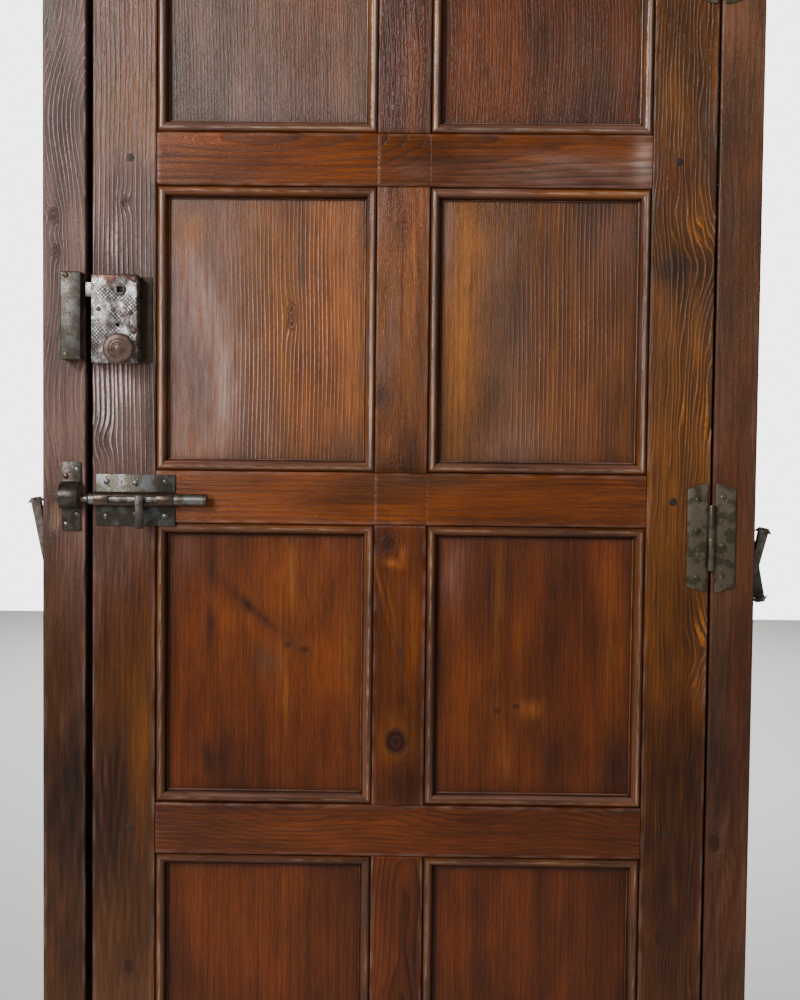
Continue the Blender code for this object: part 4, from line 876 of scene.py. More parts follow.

# Mauve and worn colour on the upper left boards, and the bleach that pales their worn ridges, stand partly
# for painted sheen and painted highlight.
FIGURES: dict[str, Figure] = {
    # Its mauve base, worn patch and bleached ridges are partly painted sheen and painted highlight.
    "stile_lock": Figure(
        MAUVE, pith_across=-0.16, pith_depth=0.1, spacing=0.005, wander=0.003, relief=0.0008,
        weathered=0.42, calm=0.4, edge_wear=0.25, bleach_and_highlight=0.9,
        knots=(Knot(-0.359, 1.418, 0.006, 0.9, 1.0), Knot(-0.388, 1.112, 0.011, 1.4, 0.35, 1.2),
            Knot(-0.352, 0.42, 0.008, 2.5)),
        wear=(Wear(-0.372, 1.16, 0.034, 0.07, 0.58), Wear(-0.37, 1.365, 0.03, 0.06, 0.48),
            Wear(-0.36, 1.6, 0.08, 0.12, -0.36), Wear(-0.36, 0.6, 0.2, 0.36, -0.4)),
        quiet=(Wear(-0.36, 0.46, 0.3, 0.42, 0.8),),
        patches=patches(
            (-0.35, 1.56, 0.05, 0.1, GOLDEN, 0.75), (-0.36, 1.7, 0.08, 0.14, ORANGE, 0.6),
            (-0.38, 1.33, 0.03, 0.06, RUSSET, 0.4), (-0.355, 0.86, 0.09, 0.13, RUSSET, 0.7, 0.0, 0.2),
            (-0.33, 0.9, 0.02, 0.09, ORANGE, 0.6), (-0.384, 0.915, 0.004, 0.09, DARK, 0.7),
            (-0.395, 0.93, 0.01, 0.09, MAUVE, 0.5), (-0.36, 0.5, 0.12, 0.36, OLIVE, 0.95, 0.0, 0.08),
            (-0.35, 0.78, 0.03, 0.05, DARK, 0.4), (-0.36, 0.66, 0.12, 0.28, DARK, 0.92, 0.0, 0.16),
            (-0.335, 0.7, 0.016, 0.09, OLIVE, 0.7), (-0.36, 0.8, 0.05, 0.06, OLIVE, 0.45),
            (-0.37, 1.17, 0.05, 0.09, WORN, 0.22), (-0.33, 1.16, 0.02, 0.14, GREY, 0.5))),
    "stile_hinge": Figure(
        OLIVE, pith_across=0.085, pith_depth=0.03, drift=0.02, spacing=0.0047, waviness=0.45,
        wave_length=0.12, relief=0.0006, weathered=0.36, calm=0.6,
        knots=(Knot(0.398, 1.345, 0.02, 3.4, 0.0, 1.9), Knot(0.33, 1.405, 0.018, -1.6, 0.0, 1.8),
            Knot(0.402, 0.845, 0.014, 3.0, 0.2), Knot(0.345, 0.47, 0.008, 3.0)),
        wear=(Wear(0.38, 1.395, 0.03, 0.04, 0.45), Wear(0.368, 1.17, 0.02, 0.09, 0.35),
            Wear(0.395, 1.17, 0.008, 0.12, 0.4), Wear(0.392, 0.875, 0.01, 0.035, 0.6),
            Wear(0.388, 0.805, 0.008, 0.02, 0.55)),
        patches=patches(
            (0.342, 1.338, 0.026, 0.018, DARK, 0.7), (0.372, 1.345, 0.022, 0.016, DARK, 0.45),
            (0.34, 1.445, 0.03, 0.03, RUSSET, 0.55), (0.392, 1.52, 0.016, 0.05, GREY, 0.8),
            (0.345, 1.53, 0.02, 0.05, GOLDEN, 0.45), (0.385, 1.395, 0.014, 0.04, GOLDEN, 0.6),
            (0.36, 1.1, 0.05, 0.18, GOLDEN, 0.45), (0.392, 0.875, 0.008, 0.03, GOLDEN, 0.75),
            (0.36, 0.55, 0.08, 0.28, RUSSET, 0.7), (0.36, 0.6, 0.08, 0.24, DARK, 0.42))),
    "rail_top": Figure(ORANGE, pith_depth=0.04, drift=0.02),
    "rail_upper": Figure(
        ORANGE, figured=0.8, pith_across=0.03, pith_depth=0.05, drift=0.03, spacing=0.006, relief=0.0003,
        weathered=0.12, splice=0.034, splice_tilt=0.22,
        patches=patches(
            (-0.2, 1.475, 0.12, 0.05, RUSSET, 0.35), (0.2, 1.455, 0.14, 0.03, MAUVE, 0.45),
            (0.22, 1.462, 0.12, 0.02, WORN, 0.24), (0.305, 1.475, 0.012, 0.03, WORN, 0.75),
            (0.01, 1.462, 0.026, 0.01, MAUVE, 0.6))),
    "rail_middle": Figure(
        ORANGE, figured=0.6, pith_across=-0.05, drift=0.015, spacing=0.0044, relief=0.00024, splice=0.034,
        splice_tilt=0.04,
        patches=patches(
            (0.02, 1.065, 0.1, 0.016, GREY, 0.5), (0.2, 1.04, 0.12, 0.04, RUSSET, 0.35))),
    "rail_lower": Figure(
        RUSSET, figured=0.8, pith_across=0.05, pith_depth=0.05, drift=-0.03,
        patches=patches(
            (-0.1, 0.605, 0.16, 0.03, ORANGE, 0.4))),
    "rail_bottom": Figure(
        RUSSET, pith_across=0.02, pith_depth=0.05, drift=0.03, spacing=0.006,
        knots=(Knot(0.14, 0.1, 0.01, 4.0),)),
    "muntin_row1": Figure(
        RUSSET, pith_across=0.06, spacing=0.005,
        patches=patches(
            (0.01, 1.56, 0.02, 0.05, ORANGE, 0.6))),
    "muntin_row2": Figure(
        ORANGE, figured=0.28, pith_across=-0.008, pith_depth=0.034, drift=0.06, spacing=0.005,
        relief=0.00036, weathered=0.2, calm=0.7,
        knots=(Knot(-0.034, 1.172, 0.015, 3.4, 0.55, 1.3),),
        patches=patches(
            (0.0, 1.28, 0.05, 0.16, GOLDEN, 0.62, 0.0, 0.2), (-0.026, 1.42, 0.008, 0.05, MAUVE, 0.5),
            (0.004, 1.405, 0.034, 0.045, RUSSET, 0.55), (0.023, 1.415, 0.006, 0.03, AMBER, 0.45),
            (-0.01, 1.44, 0.02, 0.01, DARK, 0.45), (-0.011, 1.262, 0.008, 0.055, MAUVE, 0.45),
            (0.014, 1.33, 0.003, 0.08, AMBER, 0.5), (0.021, 1.27, 0.004, 0.11, RUSSET, 0.55),
            (-0.017, 1.11, 0.01, 0.028, AMBER, 0.55), (-0.001, 1.3, 0.0022, 0.12, RUSSET, 0.95),
            (-0.026, 1.215, 0.01, 0.022, MAUVE, 0.6), (-0.028, 1.172, 0.016, 0.02, GREY, 0.7),
            (0.012, 1.11, 0.012, 0.03, DARK, 0.4), (0.0, 1.08, 0.04, 0.014, DARK, 0.6))),
    "muntin_row3": Figure(
        RUSSET, figured=0.32, pith_across=0.004, pith_depth=0.022, drift=0.05, spacing=0.0048,
        relief=0.00026, calm=0.7,
        knots=(Knot(-0.0025, 0.723, 0.019, 4.5, 1.0, 1.25), Knot(-0.0155, 0.982, 0.012, 2.4, 0.6, 1.0)),
        patches=patches(
            (-0.016, 0.985, 0.014, 0.016, DARK, 0.6), (0.004, 0.968, 0.005, 0.014, AMBER, 0.7),
            (-0.011, 0.957, 0.015, 0.005, AMBER, 0.8, -12.0),
            (-0.022, 0.912, 0.002, 0.045, AMBER, 0.8, 14.0),
            (-0.012, 0.905, 0.0016, 0.035, AMBER, 0.7, 12.0), (0.0003, 0.841, 0.006, 0.008, DARK, 0.5),
            (0.001, 0.779, 0.006, 0.008, DARK, 0.45), (-0.01, 0.865, 0.02, 0.11, OLIVE, 0.3),
            (0.02, 0.86, 0.004, 0.12, GOLDEN, 0.4), (-0.0025, 0.725, 0.021, 0.026, GOLDEN, 0.9),
            (0.0, 0.66, 0.04, 0.025, DARK, 0.45))),
    "muntin_row4": Figure(RUSSET, pith_across=0.01, pith_depth=0.03, drift=0.05),
    "panel_row1_left": Figure(
        GREY, pith_across=0.3, spacing=0.0044, relief=0.0003, ripple=0.00006,
        patches=patches(
            (-0.18, 1.54, 0.1, 0.05, MAUVE, 0.6), (-0.12, 1.7, 0.06, 0.2, ORANGE, 0.6))),
    "panel_row1_right": Figure(
        RUSSET, pith_across=-0.28,
        patches=patches(
            (0.1, 1.6, 0.05, 0.2, ORANGE, 0.6), (0.24, 1.58, 0.06, 0.1, GREY, 0.5))),
    # Its mauve, worn left third is partly painted sheen; its bleached ridges are partly a painted highlight.
    "panel_row2_left": Figure(
        ORANGE, pith_across=0.34, pith_depth=0.05, spacing=0.0052, wander=0.004, waviness=0.1,
        relief=0.0004, weathered=0.14, calm=0.3, ripple=0.00005, bleach_and_highlight=0.32,
        knots=(Knot(-0.144, 1.275, 0.0075, 1.0, 0.55, 2.6),),
        wear=(Wear(-0.19, 1.2, 0.045, 0.18, 0.62), Wear(-0.11, 1.26, 0.045, 0.18, 0.58)),
        quiet=(Wear(-0.285, 1.26, 0.062, 0.4, 0.85),),
        patches=patches(
            (-0.14, 1.26, 0.13, 0.26, GOLDEN, 0.95), (-0.285, 1.26, 0.085, 0.26, MAUVE, 0.9),
            (-0.26, 1.22, 0.06, 0.16, WORN, 0.25), (-0.2, 1.12, 0.07, 0.07, MAUVE, 0.5),
            (-0.105, 1.26, 0.06, 0.22, AMBER, 0.75), (-0.15, 1.3, 0.008, 0.12, GOLDEN, 0.6),
            (-0.131, 1.35, 0.006, 0.06, GREY, 0.8), (-0.135, 1.193, 0.008, 0.05, ORANGE, 0.75),
            (-0.148, 1.125, 0.006, 0.05, GOLDEN, 0.6), (-0.15, 1.408, 0.02, 0.025, ORANGE, 0.7),
            (-0.049, 1.28, 0.006, 0.16, GOLDEN, 0.5), (-0.229, 1.18, 0.014, 0.06, WORN, 0.4),
            (-0.275, 1.385, 0.03, 0.03, GOLDEN, 0.7), (-0.07, 1.1, 0.03, 0.03, GREY, 0.5))),
    "panel_row2_right": Figure(
        OLIVE, pith_across=-0.3, spacing=0.0056, relief=0.00045, wander=0.005, waviness=0.14,
        weathered=0.2, ripple=0.00005, bleach_and_highlight=0.25,
        wear=(Wear(0.235, 1.26, 0.06, 0.2, 0.4), Wear(0.165, 1.2, 0.03, 0.12, 0.3)),
        quiet=(Wear(0.085, 1.26, 0.045, 0.4, 0.7),),
        patches=patches(
            (0.23, 1.25, 0.08, 0.26, ORANGE, 0.55), (0.08, 1.25, 0.02, 0.24, GOLDEN, 0.75),
            (0.056, 1.38, 0.008, 0.06, MAUVE, 0.7), (0.135, 1.25, 0.034, 0.24, GREY, 0.75),
            (0.125, 1.405, 0.03, 0.02, DARK, 0.4), (0.15, 1.1, 0.06, 0.04, MAUVE, 0.35),
            (0.198, 1.27, 0.004, 0.16, GOLDEN, 0.8), (0.221, 1.3, 0.003, 0.14, GOLDEN, 0.7),
            (0.28, 1.38, 0.04, 0.05, MAUVE, 0.4))),
    "panel_row3_left": Figure(
        RUSSET, pith_across=-0.26, pith_depth=0.05, drift=0.02, spacing=0.0034, figured=0.5, calm=0.8,
        ripple=0.00004,
        knots=(Knot(-0.147, 0.8454, 0.0066, 3.0, 0.62, 0.9),
            Knot(-0.1235, 0.8407, 0.0072, 2.6, 0.66, 0.75)),
        patches=patches(
            (-0.15, 0.88, 0.1, 0.12, ORANGE, 0.75), (-0.1, 0.72, 0.07, 0.07, RUSSET, 0.6),
            (-0.248, 0.955, 0.007, 0.036, DARK, 0.75), (-0.247, 0.875, 0.008, 0.034, DARK, 0.75),
            (-0.203, 0.872, 0.052, 0.02, ORANGE, 0.85, -40.0),
            (-0.196, 0.896, 0.066, 0.006, DARK, 0.7, -40.0), (-0.141, 0.938, 0.005, 0.045, GOLDEN, 0.75),
            (-0.148, 0.78, 0.004, 0.045, GOLDEN, 0.65), (-0.172, 0.822, 0.016, 0.02, GREY, 0.55),
            (-0.093, 0.905, 0.014, 0.05, DARK, 0.38), (-0.244, 0.692, 0.03, 0.038, DARK, 0.55),
            (-0.069, 0.733, 0.006, 0.05, DARK, 0.45), (-0.066, 0.85, 0.008, 0.1, OLIVE, 0.55),
            (-0.279, 0.968, 0.018, 0.03, MAUVE, 0.3))),
    "panel_row3_right": Figure(
        RUSSET, pith_across=0.27, pith_depth=0.07, drift=-0.02, spacing=0.0042, figured=0.5, calm=0.8,
        knots=(Knot(0.1295, 0.7625, 0.0066, 2.8, 0.66, 0.75),
            Knot(0.1536, 0.7687, 0.0064, 3.0, 0.66, 0.8)),
        patches=patches(
            (0.12, 0.78, 0.06, 0.09, ORANGE, 0.5), (0.1296, 0.9145, 0.006, 0.08, GOLDEN, 0.65),
            (0.155, 0.86, 0.01, 0.06, ORANGE, 0.55), (0.2756, 0.8473, 0.012, 0.1, OLIVE, 0.6),
            (0.29, 0.87, 0.006, 0.12, ORANGE, 0.5), (0.2004, 0.8651, 0.016, 0.11, DARK, 0.42),
            (0.2145, 0.7001, 0.03, 0.035, DARK, 0.5), (0.2862, 0.6909, 0.014, 0.035, DARK, 0.6),
            (0.1725, 0.764, 0.014, 0.012, AMBER, 0.85), (0.14, 0.7, 0.008, 0.03, GOLDEN, 0.45),
            (0.0708, 0.9475, 0.02, 0.05, MAUVE, 0.3))),
    "panel_row4_left": Figure(
        RUSSET, pith_across=0.24, drift=0.02, figured=0.55, calm=0.8,
        patches=patches(
            (-0.2, 0.5, 0.1, 0.1, ORANGE, 0.4))),
    "panel_row4_right": Figure(
        RUSSET, pith_across=-0.25, drift=-0.02, figured=0.55, calm=0.8,
        knots=(Knot(0.21, 0.33, 0.007),)),
    # Its mauve base and bleached ridges are partly painted sheen and painted highlight.
    "jamb_left": Figure(
        MAUVE, pith_depth=0.08, spacing=0.0044, wander=0.012, relief=0.0006, weathered=0.4, bleach_and_highlight=0.5,
        knots=(Knot(-0.451, 1.4, 0.007, 1.6, 1.0), Knot(-0.447, 1.355, 0.0055, 1.2, 1.0)),
        chips=(Chip(-0.4505, 1.012, 0.0095, 0.02),),
        wear=(Wear(-0.437, 0.6, 0.2, 0.36, -0.4), Wear(-0.44, 1.5, 0.02, 0.08, 0.25)),
        quiet=(Wear(-0.437, 0.48, 0.3, 0.42, 0.8),),
        patches=patches(
            (-0.425, 1.5, 0.02, 0.1, GREY, 0.5), (-0.437, 0.82, 0.08, 0.12, RUSSET, 0.7, 0.0, 0.2),
            (-0.452, 0.9, 0.016, 0.05, GREY, 0.6), (-0.437, 0.4, 0.1, 0.4, OLIVE, 0.95, 0.0, 0.08),
            (-0.448, 0.74, 0.02, 0.16, OLIVE, 0.8), (-0.42, 0.72, 0.012, 0.14, DARK, 0.4),
            (-0.437, 0.62, 0.1, 0.3, DARK, 0.88, 0.0, 0.16))),
    "jamb_right": Figure(
        GREY, pith_across=-0.05, pith_depth=0.05, drift=0.02, spacing=0.006, relief=0.00018, weathered=0.1,
        figured=0.45, calm=0.7, edge_wear=0.0,
        knots=(Knot(0.414, 0.595, 0.01, 3.4),),
        patches=patches(
            (0.43, 1.4, 0.06, 0.4, ORANGE, 0.35), (0.445, 1.38, 0.02, 0.14, OLIVE, 0.5),
            (0.43, 1.08, 0.03, 0.14, RUSSET, 0.55), (0.445, 0.8, 0.02, 0.2, RUSSET, 0.6),
            (0.43, 0.46, 0.05, 0.3, RUSSET, 0.6), (0.413, 0.75, 0.012, 0.4, DARK, 0.4),
            (0.43, 0.5, 0.05, 0.4, DARK, 0.4))),
}


# Boards
@dataclass
class Board:
    """One piece of timber, built as rings of points strung along its grain."""

    node: str
    low: Place
    high: Place
    grain: Grain
    figure: Figure
    seed: int
    ease: float = 0.0022
    end_ease: float = 0.0010
    back_ease: float = 0.0012
    step: float = 0.0011
    back_step: float = 0.0032
    stride: float = 0.0070
    fewest: int = 4
    side_points: int = 5
    arc_points: int = 4
    knot_stations: int = 24
    knot_reach: float = 3.0
    end_shares: Place = (0.12, 0.4, 1.0)
    seam_shifts: tuple[float, ...] = (-0.0006, -0.0002, 0.0002, 0.0006)
    facings: tuple[Pair, ...] = ((0.0, -1.0), (1.0, 0.0), (0.0, 1.0), (-1.0, 0.0))
    relief_shares: tuple[float, ...] = (1.0, 0.0, 0.4, 0.0, 1.0)
    crisp: float = 62.0
    pith_wave: float = 0.45
    depth_wave: float = 0.30
    ring_wave: float = 0.022
    splice_shift: float = 3.4
    knot_wobble: float = 0.06
    knot_waves: Pair = (2.0, 3.0)
    swirl_fade: float = 0.45
    dark_knot: float = 0.5
    knot_ring_edge: Pair = (0.80, 0.95)
    knot_edge: Pair = (0.55, 0.95)
    chip_edge: Pair = (0.82, 1.0)
    chip_bare: float = 0.92
    ridge_rise: Pair = (0.45, 0.72)
    ridge_fall: Pair = (0.90, 1.0)
    planed_relief: float = 0.15
    hollow_depth: float = 0.00022
    ripple_pitch: float = 0.0085
    seam_depth: float = 0.00016
    seam_half: float = 0.0004
    shade_limits: Pair = (0.45, 1.6)
    front_depth: float = 0.004
    rub_width: float = 0.007
    side_width: float = 0.0004
    side_depths: Pair = (0.004, 0.012)
    side_shade: float = 0.75
    timber_spread: float = 4.0

    def span(self, axis: int) -> Pair:
        """Return the board's two ends along an axis."""
        return self.low[axis], self.high[axis]

    def from_ends(self, places: Array, axis: int) -> Array:
        """Return how far places lie from the nearer end along an axis."""
        low, high = self.span(axis)
        return np.minimum(places - low, high - places)

    def sway(self, kind: Sway, at: Points) -> Array:
        """Return one kind of unevenness at points of the board."""
        offset, across, along, middle, swing = kind.value
        return middle + swing * waves(self.seed + offset, at.across / across, at.along / along)

    def section(self) -> tuple[Array, Array, Array]:
        """Go round the board's section: front, right side, back and left side, each with its corner.

        Returns:
            The points and their outward normals, in width and depth, and each point's share of relief.
        """
        left, right = self.span(self.grain.value[0])
        front, back = self.span(1)
        r, b = self.ease, self.back_ease
        front_count = max(self.fewest, round((right - left - 2 * r) / self.step))
        back_count = max(self.fewest, round((right - left - 2 * b) / self.back_step))
        sides = (((left + r, front), (right - r, front), front_count, (right - r, front + r), r),
                 ((right, front + r), (right, back - b), self.side_points, (right - b, back - b), b),
                 ((right - b, back), (left + b, back), back_count, (left + b, back - b), b),
                 ((left, back - b), (left, front + r), self.side_points, (left + r, front + r), r))
        rows: list[tuple[float, ...]] = []
        for index, (start, end, count, middle, radius) in enumerate(sides):
            share, after = self.relief_shares[index:index + 2]
            for part in np.linspace(0.0, 1.0, count)[:-1]:
                point = [a + (b - a) * part for a, b in zip(start, end)]
                rows.append((*point, *self.facings[index], share))
            for part in np.linspace(0.0, 1.0, self.arc_points + 1)[:-1]:
                angle = math.radians(RIGHT_ANGLE * (index - 1) + RIGHT_ANGLE * part)
                normal = (math.cos(angle), math.sin(angle))
                point = [a + radius * b for a, b in zip(middle, normal)]
                rows.append((*point, *normal, share + (after - share) * part))
        table = np.array(rows)
        return table[:, 0:2], table[:, 2:4], table[:, 4]

    def stations(self) -> tuple[Array, Array]:
        """Set out the rings, closer together at ends, knots and seams.

        Returns:
            The places along the grain, and how far the ring draws in at each.
        """
        axis = self.grain.value[1]
        start, end = self.span(axis)
        ease, splice = self.end_ease, self.figure.splice
        places = list(np.linspace(start, end, max(self.fewest, round((end - start) / self.stride))))
        for share in self.end_shares:
            places += [start + share * ease, end - share * ease]
        for knot in self.figure.knots:
            reach = self.knot_reach * knot.size * np.linspace(-1.0, 1.0, self.knot_stations)
            near = knot.middle(self.grain)[1] + reach
            places += [place for place in near if start + ease < place < end - ease]
        if splice:
            places += [seam + shift for seam in (-splice, splice) for shift in self.seam_shifts]
        stations = np.unique(np.array(places))
        short = ease - np.minimum(self.from_ends(stations, axis), ease)
        return stations, ease - np.sqrt(np.maximum(ease ** 2 - short ** 2, 0.0))

    def growth(self, at: Points) -> tuple[Array, Array]:
        """Count year rings out from the pith, swirling round knots.

        Args:
            at: Points of the board.

        Returns:
            The ring count and the share of knot.
        """
        figure = self.figure
        middle, halfway = (sum(self.span(axis)) / 2 for axis in self.grain.value)
        still = np.zeros_like(at.along)
        wander = figure.wander * waves(self.seed, at.along / self.pith_wave, still)
        pith = middle + figure.pith_across + wander
        deep = figure.pith_depth + figure.drift * (at.along - halfway)
        deep = deep + figure.wander * waves(self.seed + 1, at.along / self.depth_wave, still)
        ring = np.hypot(at.across - pith, at.depth + deep) / figure.spacing
        wavy = waves(self.seed + 2, at.across / self.ring_wave, at.along / figure.wave_length)
        ring = ring + figure.waviness * wavy
        if figure.splice:
            tilted = ring + self.splice_shift + figure.splice_tilt * at.along / figure.spacing
            ring = np.where(np.abs(at.along) < figure.splice, tilted, ring)
        knot = np.zeros_like(ring)
        for spot in figure.knots:
            across, along = spot.middle(self.grain)
            far = np.hypot((at.across - across) / spot.size, (at.along - along) / (spot.aspect * spot.size))
            wide, long = (length * spot.size for length in self.knot_waves)
            far = far + self.knot_wobble * waves(self.seed + 5, at.across / wide, at.along / long)
            ring = ring + spot.swirl * np.exp(-self.swirl_fade * far ** 2)
            inside = (spot.dark > self.dark_knot) * (1.0 - step_between(*self.knot_ring_edge, far))
            ring = ring + (spot.rings * far - ring) * inside
            knot = np.maximum(knot, spot.dark * (1.0 - step_between(*self.knot_edge, far)))
        return ring, knot

    def broken(self, at: Points) -> tuple[Array, Array]:
        """Break the chips out.

        Args:
            at: Points of the board.

        Returns:
            How deep the chips are, and their share of bare wood.
        """
        depth, bare = np.zeros_like(at.across), np.zeros_like(at.across)
        for chip in self.figure.chips:
            far = np.hypot(*chip.offsets(at)) + self.sway(Sway.CHIP_RIM, at)
            inside = 1.0 - step_between(*self.chip_edge, far)
            rough = self.sway(Sway.CHIP_FLOOR, at)
            depth = np.maximum(depth, chip.depth * inside * rough)
            bare = np.maximum(bare, inside)
        return depth, bare

    def worn(self, at: Points) -> Array:
        """Wear the soft wood away.

        Args:
            at: Points of the board.

        Returns:
            How far it is worn, from 0 to 1.
        """
        share = np.full(np.shape(at.across), self.figure.weathered)
        for area in self.figure.wear:
            share = share + area.amount * np.exp(-area.far(at))
        return np.clip(share * self.sway(Sway.WORN, at), 0.0, 1.0)

    def loud(self, at: Points) -> Array:
        """Hush the figure in the board's quiet areas.

        Args:
            at: Points of the board.

        Returns:
            1 on most of the board and less in those areas.
        """
        hush = np.zeros(np.shape(at.across))
        for area in self.figure.quiet:
            hush = np.maximum(hush, area.amount * np.exp(-area.far(at) ** 2))
        return 1.0 - hush

    def figured(self, at: Points) -> Array:
        """Return how clearly the year rings show: bold in places, calm in others."""
        sway = np.clip(self.sway(Sway.FIGURED, at), 0.0, 1.0)
        return self.figure.figured * (1.0 - self.figure.calm * sway) * self.loud(at)

    def sunk(self, at: Points) -> Array:
        """Sink the worn face under the planed one.

        Args:
            at: Points of the board.

        Returns:
            How far it lies under.
        """
        figure = self.figure
        ring, _ = self.growth(at)
        phase = ring - np.floor(ring)
        ridge = step_between(*self.ridge_rise, phase) * (1.0 - step_between(*self.ridge_fall, phase))
        loud = self.loud(at)
        hollow = figure.relief * (1.0 - ridge) * (self.planed_relief + self.worn(at)) * loud
        sway = np.clip(self.sway(Sway.HOLLOW, at), 0.0, 1.0)
        hollow = hollow + self.hollow_depth * sway * loud
        if figure.ripple:
            pitch = at.along / self.ripple_pitch + self.sway(Sway.CHATTER, at)
            hollow = hollow + figure.ripple * (0.5 + 0.5 * np.sin(TURN * pitch))
        if figure.splice:
            seam = np.abs(np.abs(at.along) - figure.splice) < self.seam_half
            hollow = hollow + self.seam_depth * seam
        return hollow + self.broken(at)[0]

    def back_rise(self, at: Points) -> Array:
        """Return how far the back stands out from the plain board."""
        return np.zeros_like(at.across)

    def rings(self) -> Array:
        """String the section along the grain.

        Returns:
            The points of every ring.
        """
        points, normals, share = self.section()
        places, inset = self.stations()
        across = points[None, :, 0] - normals[None, :, 0] * inset[:, None]
        depth = points[None, :, 1] - normals[None, :, 1] * inset[:, None]
        along = np.broadcast_to(places[:, None], across.shape)
        at = Points(self.grain, across, depth, along)
        sunk = self.sunk(at) * share[None, :]
        behind = np.clip(normals[None, :, 1], 0.0, 1.0) * self.back_rise(at)
        rings = np.empty((*across.shape, 3))
        axis_across, axis_along = self.grain.value
        rings[:, :, axis_across] = across - normals[None, :, 0] * sunk
        rings[:, :, 1] = depth - normals[None, :, 1] * sunk + behind
        rings[:, :, axis_along] = along
        return rings

    def tint(self, at: Points) -> Array:
        """Colour the board: its own shades, its patches, rubbed edges, painted shade on its sides and bare
        chips.

        Args:
            at: Points of the board.

        Returns:
            A colour for each point.
        """
        figure = self.figure
        colour = np.tile(np.array(figure.base.value), (len(at.across), 1))
        shade = 1.0 + self.sway(Sway.DRIFT, at) + self.sway(Sway.NARROW, at)
        colour = colour * np.clip(shade, *self.shade_limits)[:, None]
        uneven = self.sway(Sway.RAGGED, at)
        for patch in figure.patches:
            amount = patch.amount * np.exp(-patch.far(at)) * (1.0 + patch.ragged * uneven)
            colour = blend_colour(colour, patch.colour, np.clip(amount, 0.0, 1.0))
        edge = self.from_ends(at.across, self.grain.value[0])
        behind = at.depth - self.low[1]
        front = 1.0 - step_between(0.0, self.front_depth, behind)
        rubbed = (1.0 - step_between(0.0, self.rub_width, edge)) * front
        rubbed = rubbed * np.clip(self.sway(Sway.RUBBED, at), 0.0, 1.0)
        colour = blend_colour(colour, WORN, figure.edge_wear * rubbed)
        # Painted shade on the side faces, where the gaps between parts are dark.
        side = (edge < self.side_width) * step_between(*self.side_depths, behind)
        colour = blend_colour(colour, DARK, self.side_shade * side)
        return blend_colour(colour, RAW, self.chip_bare * self.broken(at)[1] * front)

    def paint(self, mesh: Mesh) -> None:
        """Store on the mesh what its material reads.

        Args:
            mesh: The board's mesh.
        """
        flat = np.empty(len(mesh.vertices) * 3)
        mesh.vertices.foreach_get("co", flat)
        places = flat.reshape(-1, 3)
        axis_across, axis_along = self.grain.value
        at = Points(self.grain, places[:, axis_across], places[:, 1], places[:, axis_along])
        ring, knot = self.growth(at)
        offset = np.random.default_rng(self.seed).uniform(0.0, self.timber_spread, 3)
        timber = np.stack([at.across, at.along, at.depth], axis=1) + offset
        colours = np.clip(self.tint(at), DARKEST, PALEST)
        tint = np.column_stack([colours, np.full(len(places), self.figure.bleach_and_highlight)])
        keep_attributes(mesh, ring=ring, knot=knot, weathered=self.worn(at), figured=self.figured(at),
                        timber=timber, tint=tint)

    def build(self, finish: WoodFinish, material: Material, body: str,
              cutter: Optional[Piece] = None) -> None:
        """Build the board, cut it if asked, paint it and hand it over.

        Args:
            finish: Not used.
            material: The finish's material.
            body: The body that the board rides on.
            cutter: A shape to take out of the board.
        """
        obj = place_solids("wood_" + self.node, [closed_sweep(self.rings())])
        if cutter:
            cut_away(obj, cutter)
        self.paint(obj.data)
        smooth(obj.data, self.crisp)
        hand_over(obj, material, body, [self.node])


@dataclass
class Panel(Board):
    """A panel, flat in front and raised in a bevelled field behind."""

    border: float = 0.050
    rise: float = 0.008
    dirt_and_shade_bands: tuple[Place, ...] = ((0.30, 0.0165, 0.0205), (0.20, 0.016, 0.042))

    def from_edge(self, at: Points) -> Array:
        """Return how far points lie from the panel's nearest edge."""
        axis_across, axis_along = self.grain.value
        return np.minimum(self.from_ends(at.across, axis_across), self.from_ends(at.along, axis_along))

    def back_rise(self, at: Points) -> Array:
        """Return the height of the field: it climbs over the border and then stays level."""
        return self.rise * np.clip(self.from_edge(at) / self.border, 0.0, 1.0)

    def tint(self, at: Points) -> Array:
        """Colour the panel, dark along its edges with old dirt and painted shade from the mouldings.

        Args:
            at: Points of the panel.

        Returns:
            A colour for each point.
        """
        colour = super().tint(at)
        # Old dirt and painted shade from the mouldings darken the panel along its edges.
        inside = self.from_edge(at) + self.sway(Sway.DIRT_AND_SHADE, at)
        near = sum(share * (1.0 - step_between(low, high, inside)) for share, low, high in self.dirt_and_shade_bands)
        return blend_colour(colour, DARK, near)


# Timber assemblies
@dataclass(frozen=True)
class Opening:
    """One of the leaf's openings: its row from the top, its side and its four edges."""

    name: str
    row: int
    on_right: bool
    left: float
    right: float
    bottom: float
    top: float

    def seed(self, first: int, row_step: int, side_step: int) -> int:
        """Return a seed of the opening's own."""
        return first + row_step * self.row + side_step * self.on_right


